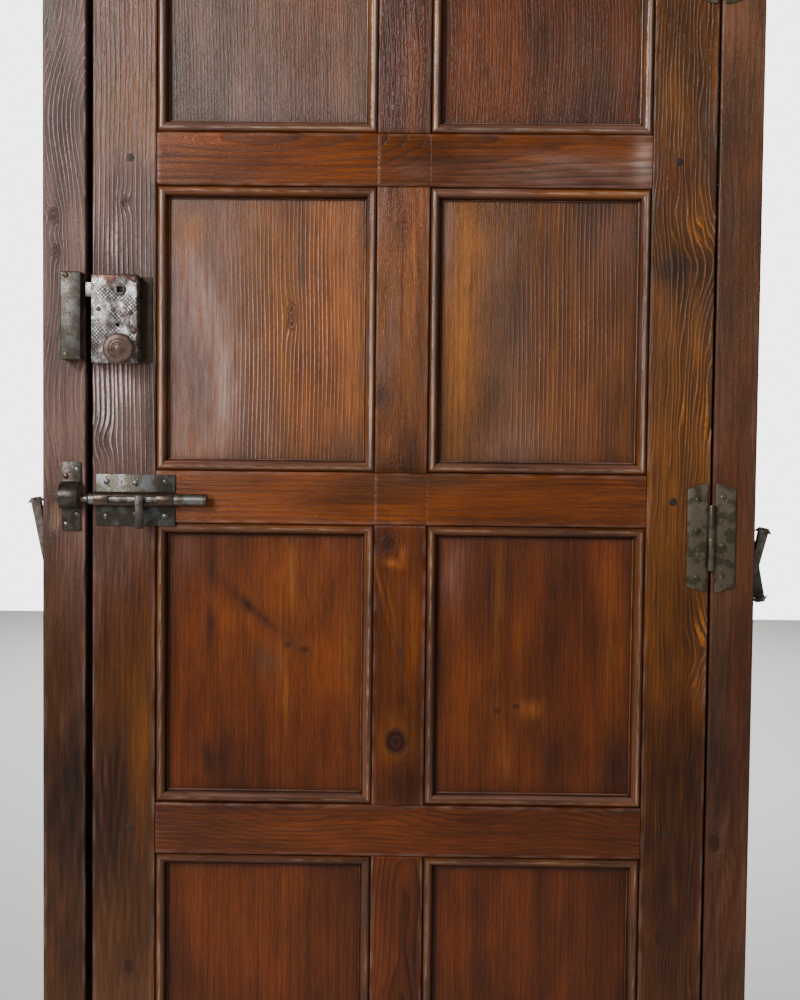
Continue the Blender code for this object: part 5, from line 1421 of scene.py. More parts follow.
@dataclass
class Leaf:
    """The joined leaf: stiles, rails, muntins and panels."""

    wood: WoodFinish = WoodFinish("varnished_pine", "leaf_wood")
    panel_wood: WoodFinish = WoodFinish("panel_pine", "panel_wood", roughness=0.30, contrast=0.62,
                                        deep_from=0.95)
    body: str = "leaf"
    stile_names: Names = ("stile_lock", "stile_hinge")
    stile_seeds: Seeds = (11, 23)
    stile_step: float = 0.0008
    rail_names: Names = ("rail_top", "rail_upper", "rail_middle", "rail_lower", "rail_bottom")
    rail_seeds: Seeds = (31, 38, 45, 52, 59)
    rail_ease: float = 0.0030
    rail_end_ease: float = 0.0016
    rows: Names = ("row1", "row2", "row3", "row4")
    muntin_seeds: Seeds = (71, 76, 81, 86)
    muntin_end_ease: float = 0.0012
    panel_seeds: tuple[int, int, int] = (105, 13, 1)
    panel_step: float = 0.0009
    panel_rise: float = 0.008
    groove_overlap: float = 0.0010
    bore_radius: float = 0.0080
    bore_length: float = 0.08
    bore_sides: int = 32

    def build(self) -> None:
        """Build every board of the leaf."""
        material = self.wood.material()
        for board in self.boards():
            cutter = self.spindle_bore() if board.node == "stile_lock" else None
            board.build(self.wood, material, self.body, cutter)
        self.build_panels()

    def inner_sides(self) -> Pair:
        """Return where the stiles' inner edges lie."""
        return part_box("stile_lock")[1].x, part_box("stile_hinge")[0].x

    def row_heights(self, row: int) -> Pair:
        """Return the lower and upper edge of a row of openings, counted from the top."""
        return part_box(self.rail_names[row + 1])[1].z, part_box(self.rail_names[row])[0].z

    def openings(self) -> Iterator[Opening]:
        """Go through the openings, row by row from the top.

        Yields:
            Each opening.
        """
        left, right = self.inner_sides()
        for index, row in enumerate(self.rows):
            low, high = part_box("muntin_" + row)
            heights = self.row_heights(index)
            yield Opening(row + "_left", index, False, left, low.x, *heights)
            yield Opening(row + "_right", index, True, high.x, right, *heights)

    def spindle_bore(self) -> Piece:
        """Make the hole through the lock stile for the handle's spindle.

        Returns:
            The shape to cut away.
        """
        low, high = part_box("lock_hub")
        front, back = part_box("stile_lock")
        middle = Vector(((low.x + high.x) / 2, (front.y + back.y) / 2, high.z - (high.x - low.x) / 2))
        turn = Matrix.Translation(middle) @ Matrix.Rotation(math.radians(RIGHT_ANGLE), 4, "X")
        shape = bmesh.new()
        bmesh.ops.create_cone(shape, cap_ends=True, segments=self.bore_sides, radius1=self.bore_radius,
                              radius2=self.bore_radius, depth=self.bore_length, matrix=turn)
        return place_shape("spindle_bore", shape)

    def boards(self) -> Iterator[Board]:
        """Set out the stiles, the rails between them and the muntins between the rails.

        Yields:
            Each board.
        """
        left, right = self.inner_sides()
        for node, seed in zip(self.stile_names, self.stile_seeds):
            low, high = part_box(node)
            yield Board(node, tuple(low), tuple(high), Grain.UPRIGHT, FIGURES[node], seed,
                        step=self.stile_step)
        for node, seed in zip(self.rail_names, self.rail_seeds):
            low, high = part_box(node)
            yield Board(node, (left, low.y, low.z), (right, high.y, high.z), Grain.LEVEL, FIGURES[node],
                        seed, ease=self.rail_ease, end_ease=self.rail_end_ease)
        for index, seed in enumerate(self.muntin_seeds):
            node = "muntin_" + self.rows[index]
            low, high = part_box(node)
            bottom, top = self.row_heights(index)
            yield Board(node, (low.x, low.y, bottom), (high.x, high.y, top), Grain.UPRIGHT, FIGURES[node],
                        seed, end_ease=self.muntin_end_ease)

    def build_panels(self) -> None:
        """Build the eight panels behind their mouldings."""
        material = self.panel_wood.material()
        more = self.groove_overlap
        for hole in self.openings():
            node = "panel_" + hole.name
            front, back = (corner.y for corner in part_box(node))
            low = (hole.left - more, front, hole.bottom - more)
            high = (hole.right + more, back - self.panel_rise, hole.top + more)
            panel = Panel(node, low, high, Grain.UPRIGHT, FIGURES[node], hole.seed(*self.panel_seeds),
                          step=self.panel_step, rise=self.panel_rise)
            panel.build(self.panel_wood, material, self.body)


@dataclass(frozen=True)
class Side:
    """A side of an opening: which way its strip runs, which way is in, how its crest is rubbed and lit, and
    its painted shadow or painted sheen.
    """

    along: Pair
    inward: Pair
    rubbed: float
    shadow: float = 0.0
    painted_sheen: float = 0.0


# On the left and top strips a painted shadow darkens the inner slope, on the bottom strip a painted sheen
# lightens it, and each side's crest rub also holds a painted highlight that follows the light from the upper
# left.
SIDES = {
    "left": Side((0.0, 1.0), (1.0, 0.0), 1.0, shadow=0.55),
    "top": Side((1.0, 0.0), (0.0, -1.0), 0.12, shadow=0.55),
    "right": Side((0.0, -1.0), (-1.0, 0.0), 1.0),
    "bottom": Side((-1.0, 0.0), (0.0, 1.0), 0.45, painted_sheen=0.60),
}


@dataclass(frozen=True)
class Strip:
    """One mitred strip of a moulding: its side, its outer corner, its length and its seed."""

    side: Side
    corner: Pair
    length: float
    seed: int


@dataclass
class Mouldings:
    """The planted mouldings: four mitred strips round each panel."""

    wood: WoodFinish = WoodFinish("moulding_pine", "moulding_wood", roughness=0.12, contrast=0.45,
                                  fibre=replace(FIBRE, start=0.85), bump=0.28)
    body: str = "leaf"
    seeds: tuple[int, int, int] = (301, 97, 41)
    strip_seed_step: int = 10
    joint: float = 0.0003
    arris: float = 0.001
    lip: float = 0.0004
    outer_depth: float = 0.0042
    crest_depth: float = 0.0006
    crest_width: float = 0.0060
    crest_curve: float = 2.2
    roll_width: float = 0.0074
    roll_drop: float = 0.0088
    quirk: float = 0.0005
    quirk_drop: float = 0.0006
    fillet_depth: float = 0.0104
    fillet_round: float = 0.0008
    back: float = 0.0136
    back_band: float = 0.0005
    width: float = 0.0159
    crest_points: int = 8
    roll_points: int = 12
    stride: float = 0.009
    fewest: int = 8
    mitre_gap: float = 0.0001
    wobble: float = 0.00028
    wobble_waves: Pair = (0.06, 0.02)
    crisp: float = 50.0
    ring_spacing: float = 0.0030
    ring_sway: float = 0.7
    ring_waves: Pair = (0.3, 0.01)
    timber_shift: float = 0.037
    weathered: float = 0.1
    broad_waves: Pair = (0.22, 0.03)
    fine_waves: Pair = (0.03, 0.004)
    pale_from: float = 0.6
    pale_reach: float = 0.9
    base_broad: Pair = (0.95, 0.3)
    base_pale: Pair = (0.8, 0.5)
    greyed: float = 0.5
    # Stains; the mauve one, stronger higher up, is partly painted sheen.
    stains_and_sheen: tuple[tuple[Pine, Pair, float, Pair], ...] = (
        (GOLDEN, (0.10, 0.4), 0.5, (0.3, 0.7)),
        (MAUVE, (0.15, -0.5), 0.55, (0.2, 0.8)),
    )
    # Where the painted sheen and the painted shadow lie on the inner slope.
    painted_sheen_edge: Pair = (0.0075, 0.0105)
    shadow_edge: Pair = (0.0085, 0.0120)
    # The crest's and the rim's rub: rubbed wood with a painted highlight along it.
    crest_reach: float = 0.0014
    rim_bell: Pair = (0.0150, 0.0008)
    rim_rub_and_highlight: float = 0.5
    fine_rub_and_highlight: float = 0.3
    broad_rub_and_highlight: float = 0.2
    most_rub_and_highlight: float = 0.90
    # Darker at the joint and in the quirk.
    joint_reach: float = 0.0014
    joint_dirt: float = 0.55
    quirk_bell: Pair = (0.0138, 0.0010)
    quirk_dark: float = 0.7
    most_darkening: float = 0.75

    def profile(self) -> Array:
        """Draw the section: a hollow crest, a quarter roll and a fillet.

        Returns:
            Distance in from the edge of the opening, and depth.
        """
        points = [(self.joint, self.back), (self.joint, self.outer_depth + self.arris)]
        for part in np.linspace(0.0, 1.0, self.crest_points):
            inward = self.joint + self.lip + part * (self.crest_width - self.joint)
            fall = (self.outer_depth - self.crest_depth) * (1.0 - part) ** self.crest_curve
            points.append((inward, self.crest_depth + fall))
        shoulder = points[-1][0]
        for part in np.linspace(0.0, 1.0, self.roll_points)[1:]:
            turn = math.radians(RIGHT_ANGLE * part)
            drop = self.roll_drop * (1.0 - math.cos(turn))
            points.append((shoulder + self.roll_width * math.sin(turn), self.crest_depth + drop))
        foot = points[-1][0]
        points += [(foot + self.quirk, self.fillet_depth + self.quirk_drop),
                   (foot + 2.0 * self.quirk, self.fillet_depth),
                   (self.width - self.fillet_round, self.fillet_depth),
                   (self.width, self.fillet_depth + self.fillet_round), (self.width, self.back)]
        return np.array(points)

    def solid(self, strip: Strip) -> tuple[Solid, Array, Array]:
        """Run the section along one strip, between its mitres.

        Args:
            strip: The strip.

        Returns:
            The closed solid, and how far inward and how far along each of its points lies.
        """
        profile = self.profile()
        side, corner = strip.side, strip.corner
        share = np.linspace(0.0, 1.0, max(self.fewest, round(strip.length / self.stride)))
        inner, depth = (np.meshgrid(profile[:, column], share)[0] for column in (0, 1))
        free = strip.length - 2.0 * inner - 2.0 * self.mitre_gap
        run = inner + self.mitre_gap + share[:, None] * free
        uneven = self.wobble * waves(strip.seed, run / self.wobble_waves[0], inner / self.wobble_waves[1])
        exposed = (depth < self.back - self.back_band) & (inner > self.joint)
        depth = depth + np.where(exposed, uneven + self.wobble, 0.0)
        rings = np.stack([corner[0] + side.along[0] * run + side.inward[0] * inner, depth,
                          corner[1] + side.along[1] * run + side.inward[1] * inner], axis=-1)
        inward = np.append(inner.ravel(), [self.width / 2, self.width / 2])
        along = np.append(run.ravel(), [0.0, strip.length])
        return closed_sweep(rings), inward, along

    def tint(self, strip: Strip, inward: Array, along: Array, pale: float) -> Array:
        """Colour a strip: darker at the joint and in the quirk, painted shadow or painted sheen on the inner
        slope, and pale along the crest where it is rubbed and where a painted highlight lies.

        Args:
            strip: The strip.
            inward: How far in from the opening's edge each point lies.
            along: How far along the strip each point lies.
            pale: How pale the strip is, from 0 near the door's foot to 1 higher up.

        Returns:
            A colour for each point.
        """
        broad = waves(strip.seed + 1, along / self.broad_waves[0], inward / self.broad_waves[1])
        fine = waves(strip.seed + 2, along / self.fine_waves[0], inward / self.fine_waves[1])
        colour = np.tile(np.array(RUSSET.value), (len(inward), 1))
        colour = colour * sloped(self.base_broad, broad[:, None]) * sloped(self.base_pale, pale)
        colour = blend_colour(colour, GREY, np.full(len(inward), self.greyed))
        # The mauve stain, stronger higher up, is partly painted sheen.
        for pine, line, most, by_pale in self.stains_and_sheen:
            amount = np.clip(sloped(line, broad), 0.0, most) * sloped(by_pale, pale)
            colour = blend_colour(colour, pine, amount)
        # Painted sheen on the inner slope of the bottom strips, which faces up to the light.
        colour = blend_colour(colour, MAUVE, strip.side.painted_sheen * step_between(*self.painted_sheen_edge, inward))
        # Pale along the crest and the rim: rubbed wood with a painted highlight that follows the light.
        rub_and_highlight = bell(self.crest_width, self.crest_reach, inward) + self.rim_rub_and_highlight * bell(*self.rim_bell, inward)
        rub_and_highlight = rub_and_highlight * (strip.side.rubbed * pale + self.fine_rub_and_highlight * fine + self.broad_rub_and_highlight * broad)
        colour = blend_colour(colour, BARE_AND_HIGHLIGHT, np.clip(rub_and_highlight, 0.0, self.most_rub_and_highlight))
        # Darker at the joint and in the quirk, with painted shadow on the inner slope of the left and top
        # strips.
        darkening = self.joint_dirt * bell(self.joint, self.joint_reach, inward)
        darkening = darkening + self.quirk_dark * bell(*self.quirk_bell, inward)
        darkening = darkening + strip.side.shadow * step_between(*self.shadow_edge, inward)
        return blend_colour(colour, DARK, np.clip(darkening, 0.0, self.most_darkening))

    def frame(self, hole: Opening, material: Material) -> None:
        """Build the four strips round one opening as one piece.

        Args:
            hole: The opening.
            material: The mouldings' material.
        """
        node = "moulding_" + hole.name
        width, height = hole.right - hole.left, hole.top - hole.bottom
        corners = ((hole.left, hole.bottom), (hole.left, hole.top), (hole.right, hole.top),
                   (hole.right, hole.bottom))
        parts, tints, rings, timber = [], [], [], []
        for index, side in enumerate(SIDES.values()):
            seed = hole.seed(*self.seeds) + self.strip_seed_step * index
            strip = Strip(side, corners[index], (height, width)[index % 2], seed)
            solid, inward, along = self.solid(strip)
            parts.append(solid)
            pale = np.clip((solid[0][:, 2] - self.pale_from) / self.pale_reach, 0.0, 1.0)
            tints.append(self.tint(strip, inward, along, float(pale.mean())))
            sway = waves(seed + 3, along / self.ring_waves[0], inward / self.ring_waves[1])
            rings.append(inward / self.ring_spacing + self.ring_sway * sway)
            timber.append(np.column_stack([inward, along, solid[0][:, 1]]) + seed * self.timber_shift)
        obj = place_solids("wood_" + node, parts)
        colours = np.clip(np.vstack(tints), DARKEST, PALEST)
        count = len(colours)
        keep_attributes(obj.data, ring=np.concatenate(rings), knot=np.zeros(count),
                        weathered=np.full(count, self.weathered), figured=np.ones(count),
                        timber=np.vstack(timber), tint=np.column_stack([colours, np.zeros(count)]))
        smooth(obj.data, self.crisp)
        hand_over(obj, material, self.body, [node])

    def build(self, leaf: Leaf) -> None:
        """Build the moulding of every panel.

        Args:
            leaf: The leaf that holds the panels.
        """
        material = self.wood.material()
        for hole in leaf.openings():
            self.frame(hole, material)


@dataclass
class DoorFrame:
    """The jambs, the head and the stops that the leaf shuts against."""

    wood: WoodFinish = WoodFinish("frame_pine", "frame_wood", roughness=0.30)
    body: str = "frame"
    names: Names = ("jamb_left", "jamb_right", "frame_head", "stop_left", "stop_right", "stop_head")
    seeds: Seeds = (501, 512, 523, 534, 545, 556)
    ease: float = 0.0026
    step: float = 0.0011
    stop_step: float = 0.0025

    def build(self) -> None:
        """Build the boards of the frame."""
        material = self.wood.material()
        head_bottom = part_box("frame_head")[0].z
        for node, seed in zip(self.names, self.seeds):
            low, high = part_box(node)
            top = high.z if node == "frame_head" else min(high.z, head_bottom)
            grain = Grain.LEVEL if node.endswith("head") else Grain.UPRIGHT
            figure = FIGURES.get(node, PLAIN_FIGURE)
            step = self.stop_step if node.startswith("stop") else self.step
            board = Board(node, tuple(low), (high.x, high.y, top), grain, figure, seed,
                          ease=self.ease, step=step)
            board.build(self.wood, material, self.body)


# Ironwork
@dataclass
class Ironwork:
    """Fittings made from their solids, with the sharp edges taken off."""

    nodes: dict[str, Piece]
    record: dict[str, Any]
    sharp: float = math.radians(42.0)
    flat: float = math.radians(1.5)
    merge: float = 2e-6
    bevel_points: int = 2
    bevel_profile: float = 0.5
    crisp: float = 34.0
    made: dict[str, Material] = field(default_factory=dict)

    def body_of(self, node: str) -> str:
        """Return the body that a node belongs to."""
        return next(body for body, members in self.record["behaviour"]["bodies"].items() if node in members)

    def material(self, metal: Metal) -> Material:
        """Make a metal's material the first time it is asked for.

        Args:
            metal: The metal.

        Returns:
            Its material.
        """
        if metal.name not in self.made:
            self.made[metal.name] = metal.value.material()
        return self.made[metal.name]

    def dress(self, node: str, metal: Metal, edge: float) -> None:
        """Copy a node, ease its edges and give it a finish.

        Args:
            node: The node that the piece stands for.
            metal: What it is made of.
            edge: How wide its sharp edges are rounded.
        """
        shape = bmesh.new()
        shape.from_mesh(self.nodes[node].data)
        bmesh.ops.remove_doubles(shape, verts=shape.verts, dist=self.merge)
        bmesh.ops.dissolve_limit(shape, angle_limit=self.flat, verts=shape.verts, edges=shape.edges)
        if edge:
            joined = [line for line in shape.edges if len(line.link_faces) == 2]
            bmesh.ops.bevel(shape, geom=[line for line in joined if line.calc_face_angle() > self.sharp],
                            offset=edge, segments=self.bevel_points, profile=self.bevel_profile,
                            affect="EDGES", clamp_overlap=True)
        bmesh.ops.triangulate(shape, faces=[face for face in shape.faces if len(face.verts) > 4])
        obj = place_shape("metal_" + node, shape)
        layers = obj.data.attributes
        if "custom_normal" in layers:
            layers.remove(layers["custom_normal"])
        smooth(obj.data, self.crisp)
        hand_over(obj, self.material(metal), self.body_of(node), [node])

    def keep(self, node: str, metal: Metal) -> None:
        """Leave a hidden node's solid as it is, with a finish of its own.

        Args:
            node: The node.
            metal: What it is made of.
        """
        slots = self.nodes[node].data.materials
        slots.clear()
        slots.append(self.material(metal))


@dataclass
class Spring:
    """The latch's spring: a coil whose ends go with the case and with the latch bolt."""

    iron: Ironwork
    metal: Metal = Metal.ROD
    wire: float = 0.00045
    turns: int = 5
    turn_points: int = 24
    wire_sides: int = 8
    seat: float = 0.10
    crisp: float = 50.0

    def build(self) -> None:
        """Wind the coil and tie it to both bodies."""
        low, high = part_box("latch_spring")
        wire = self.wire
        length = high.x - low.x - 2 * wire
        share = np.linspace(0.0, 1.0, self.turns * self.turn_points + 1)
        angle = TURN * self.turns * share
        outward = np.stack([np.zeros_like(angle), np.sin(angle), np.cos(angle)], axis=-1)
        middle = np.array([low.x + wire, (low.y + high.y) / 2, (low.z + high.z) / 2])
        radius = (high.z - low.z) / 2 - wire
        centres = middle + radius * outward + np.outer(share * length, (1.0, 0.0, 0.0))
        heading = np.gradient(centres, axis=0)
        heading = heading / np.linalg.norm(heading, axis=1)[:, None]
        aside = np.cross(heading, outward)
        turn = np.linspace(0.0, TURN, self.wire_sides, endpoint=False)[None, :, None]
        rings = centres[:, None] + wire * (np.cos(turn) * outward[:, None] + np.sin(turn) * aside[:, None])
        obj = place_solids("metal_latch_spring", [closed_sweep(rings)])
        smooth(obj.data, self.crisp)
        obj.data.materials.append(self.iron.material(self.metal))
        still_end = (high.x + self.seat * length, middle[1], middle[2])
        driven_end = (low.x - self.seat * length, middle[1], middle[2])
        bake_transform(obj, "leaf", "latch", start=still_end, end=driven_end)
        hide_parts("latch_spring")
        LOG.info("%s: %d faces between leaf and latch", obj.name, len(obj.data.polygons))


@dataclass
class Knob:
    """The turned knob, with rings round a boss on its face."""

    iron: Ironwork
    metal: Metal = Metal.KNOB
    boss: tuple[Pair, ...] = ((0.0, 0.0), (0.0028, 0.0), (0.0036, 0.0006))
    rings: Place = (0.0052, 0.0082, 0.0118)
    ring: tuple[Pair, ...] = ((-0.0014, 0.0006), (-0.0005, 0.0011), (0.0004, 0.0002), (0.0012, 0.0004))
    rim_width: float = 0.0036
    rim_drop: float = 0.0010
    rim_round: float = 0.0045
    rim_points: int = 7
    under_width: float = 0.0030
    under_round: float = 0.0020
    under_points: int = 6
    neck: float = 0.0048
    neck_radius: float = 0.0102
    neck_ease: float = 0.0008
    stem_radius: float = 0.0095
    socket_radius: float = 0.0046
    socket_depth: float = 0.0020
    steps: int = 72
    merge: float = 1e-6
    crisp: float = 40.0

    def profile(self, radius: float, thick: float) -> list[Pair]:
        """Draw half the knob's section, from the middle of its face to the middle of its back.

        Args:
            radius: The knob's radius.
            thick: Its height above the lock case.

        Returns:
            Distances from the axis, and heights.
        """
        points = [(r, thick - drop) for r, drop in self.boss]
        for middle in self.rings:
            points += [(middle + aside, thick - drop) for aside, drop in self.ring]
        for part in np.linspace(0.0, 1.0, self.rim_points):
            turn = math.radians(RIGHT_ANGLE * part)
            drop = self.rim_round * (1.0 - math.cos(turn))
            aside = radius - self.rim_width + self.rim_width * math.sin(turn)
            points.append((aside, thick - self.rim_drop - drop))
        for part in np.linspace(0.0, 1.0, self.under_points):
            turn = math.radians(RIGHT_ANGLE * part)
            height = self.neck + self.under_round * (1.0 - math.sin(turn))
            points.append((radius - self.under_width * (1.0 - math.cos(turn)), height))
        return points + [(self.neck_radius, self.neck), (self.stem_radius, self.neck - self.neck_ease),
                         (self.stem_radius, 0.0), (self.socket_radius, 0.0),
                         (self.socket_radius, self.socket_depth), (0.0, self.socket_depth)]

    def build(self) -> None:
        """Turn the section about the knob's axis, in place of the plain solid."""
        low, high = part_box("lock_knob")
        profile = self.profile((high.x - low.x) / 2, high.y - low.y)
        mesh = bpy.data.meshes.new("profile")
        edges = [(index, index + 1) for index in range(len(profile) - 1)]
        mesh.from_pydata([(r, 0.0, height) for r, height in profile], edges, [])
        obj = place_object("metal_lock_knob", mesh)
        screw = obj.modifiers.new("turn", "SCREW")
        screw.steps = self.steps
        screw.render_steps = self.steps
        screw.use_merge_vertices = True
        screw.merge_threshold = self.merge
        bake_modifiers(obj)
        shape = bmesh.new()
        shape.from_mesh(obj.data)
        bmesh.ops.remove_doubles(shape, verts=shape.verts, dist=self.merge)
        bmesh.ops.recalc_face_normals(shape, faces=shape.faces)
        middle = ((low.x + high.x) / 2, high.y, (low.z + high.z) / 2)
        shape.transform(Matrix.Translation(middle) @ Matrix.Rotation(math.radians(RIGHT_ANGLE), 4, "X"))
        shape.to_mesh(obj.data)
        shape.free()
        smooth(obj.data, self.crisp)
        hand_over(obj, self.iron.material(self.metal), "knob", ["lock_knob"])


@dataclass
class Fittings:
    """Lock, slide bolt, hinges and spikes, each with its own metal and width of rounded edge."""

    iron: Ironwork
    dressed: tuple[tuple[str, Metal, float], ...] = (
        ("lock_case", Metal.CASE, 0.0004), ("lock_back_plate", Metal.PLATE, 0.0004),
        ("lock_hub", Metal.STRAP, 0.0003), ("latch_bolt", Metal.LATCH, 0.0005),
        ("lock_screw_upper", Metal.SCREW, 0.0), ("lock_screw_lower", Metal.SCREW, 0.0),
        ("lock_keeper", Metal.KEEPER, 0.0004), ("bolt_keeper", Metal.STRAP, 0.0005),
        ("bolt_plate", Metal.BOLT, 0.0005), ("bolt_rod", Metal.ROD, 0.0), ("bolt_handle", Metal.STRAP, 0.0),
    )
    hinge_parts: tuple[tuple[str, Metal], ...] = (
        ("leaf_plate", Metal.HINGE), ("jamb_plate", Metal.HINGE), ("pin", Metal.LATCH),
    )
    hinge_edge: float = 0.0005
    spikes: tuple[tuple[str, Metal], ...] = (
        ("spike_left", Metal.PALE_SPIKE), ("spike_right_upper", Metal.SPIKE),
        ("spike_right_lower", Metal.SPIKE),
    )
    spike_edge: float = 0.0010
    hidden: Names = ("knob_spindle", "dead_bolt")

    def build(self) -> None:
        """Dress every fitting."""
        for node, metal, edge in self.dressed:
            self.iron.dress(node, metal, edge)
        for level in HINGE_LEVELS:
            for part, metal in self.hinge_parts:
                self.iron.dress(f"hinge_{level}_{part}", metal, self.hinge_edge)
        for node, metal in self.spikes:
            self.iron.dress(node, metal, self.spike_edge)
        for node in self.hidden:
            self.iron.keep(node, Metal.ROD)
        Knob(self.iron).build()
        Spring(self.iron).build()


# Fasteners
@dataclass
class Heads:
    """A set of domed heads on one body: screws, rivets or pegs."""

    name: str
    body: str
    metal: Metal
    places: list[Head]
    seed: int
    dome: float = 0.42
    slotted: bool = True
    slot_width: float = 0.24
    blade_length: float = 3.0
    blade_lift: Pair = (0.4, 0.5)
    segments: int = 20
    rounds: int = 10
    crisp: float = 40.0

    def tree(self) -> bpy.types.NodeTree:
        """Build the node tree that sets a head on every point.

        Returns:
            The node tree.
        """
        tree = bpy.data.node_groups.new("heads", "GeometryNodeTree")
        inputs = (("Geometry", "Geometry"), ("Dome", "Float"), ("Slot width", "Float"), ("Slotted", "Bool"),
                  ("Seed", "Int"), ("Finish", "Material"))
        for label, kind in inputs:
            tree.interface.new_socket(label, in_out="INPUT", socket_type="NodeSocket" + kind)
        tree.interface.new_socket("Geometry", in_out="OUTPUT", socket_type="NodeSocketGeometry")
        bench = Bench(tree)
        given = bench.node("NodeGroupInput", {}).outputs
        ball = bench.out("GeometryNodeMeshUVSphere",
                         {"Segments": self.segments, "Rings": self.rounds, "Radius": 1.0})
        squash = bench.out("ShaderNodeCombineXYZ", {0: 1.0, 1: 1.0, 2: given["Dome"]})
        head = bench.out("GeometryNodeTransform", {"Geometry": ball, "Scale": squash})
        size = bench.out("ShaderNodeCombineXYZ", {0: self.blade_length, 1: given["Slot width"], 2: 1.0})
        blade = bench.out("GeometryNodeMeshCube", {"Size": size})
        rise, start = self.blade_lift
        lift = bench.out("ShaderNodeMath", {0: given["Dome"], 1: rise, 2: start}, operation="MULTIPLY_ADD")
        shift = bench.out("ShaderNodeCombineXYZ", {2: lift})
        raised = bench.out("GeometryNodeTransform", {"Geometry": blade, "Translation": shift})
        cut = bench.out("GeometryNodeMeshBoolean", {"Mesh 1": head, "Mesh 2": raised},
                        operation="DIFFERENCE")
        pick = bench.out("GeometryNodeSwitch", {"Switch": given["Slotted"], "False": head, "True": cut},
                         input_type="GEOMETRY")
        spin = bench.node("FunctionNodeRandomValue", {2: 0.0, 3: TURN, "Seed": given["Seed"]},
                          data_type="FLOAT")
        upright = math.radians(RIGHT_ANGLE)
        angles = bench.out("ShaderNodeCombineXYZ", {0: upright, 1: spin.outputs[1], 2: 0.0})
        turn = bench.out("FunctionNodeEulerToRotation", {0: angles})
        radius = bench.out("GeometryNodeInputNamedAttribute", {"Name": "radius"}, data_type="FLOAT")
        heads = bench.out("GeometryNodeInstanceOnPoints", {"Points": given["Geometry"], "Instance": pick,
                                                           "Rotation": turn, "Scale": radius})
        real = bench.out("GeometryNodeRealizeInstances", {"Geometry": heads})
        dressed = bench.out("GeometryNodeSetMaterial", {"Geometry": real, "Material": given["Finish"]})
        bench.node("NodeGroupOutput", {0: dressed})
        return tree

    def build(self, iron: Ironwork) -> None:
        """Set the heads out, turn them into a plain mesh and hand it over.

        Args:
            iron: Keeps the metals' materials.
        """
        mesh = bpy.data.meshes.new(self.name)
        mesh.from_pydata([place[:3] for place in self.places], [], [])
        keep_attributes(mesh, radius=np.array([place[3] for place in self.places]))
        obj = place_object(self.name, mesh)
        modifier = obj.modifiers.new("heads", "NODES")
        modifier.node_group = self.tree()
        material = iron.material(self.metal)
        values = {"Dome": self.dome, "Slot width": self.slot_width, "Slotted": self.slotted,
                  "Seed": self.seed, "Finish": material}
        for item in modifier.node_group.interface.items_tree:
            if item.in_out == "INPUT" and item.name in values:
                modifier[item.identifier] = values[item.name]
        bake_modifiers(obj)
        smooth(obj.data, self.crisp)
        hand_over(obj, material, self.body, [])


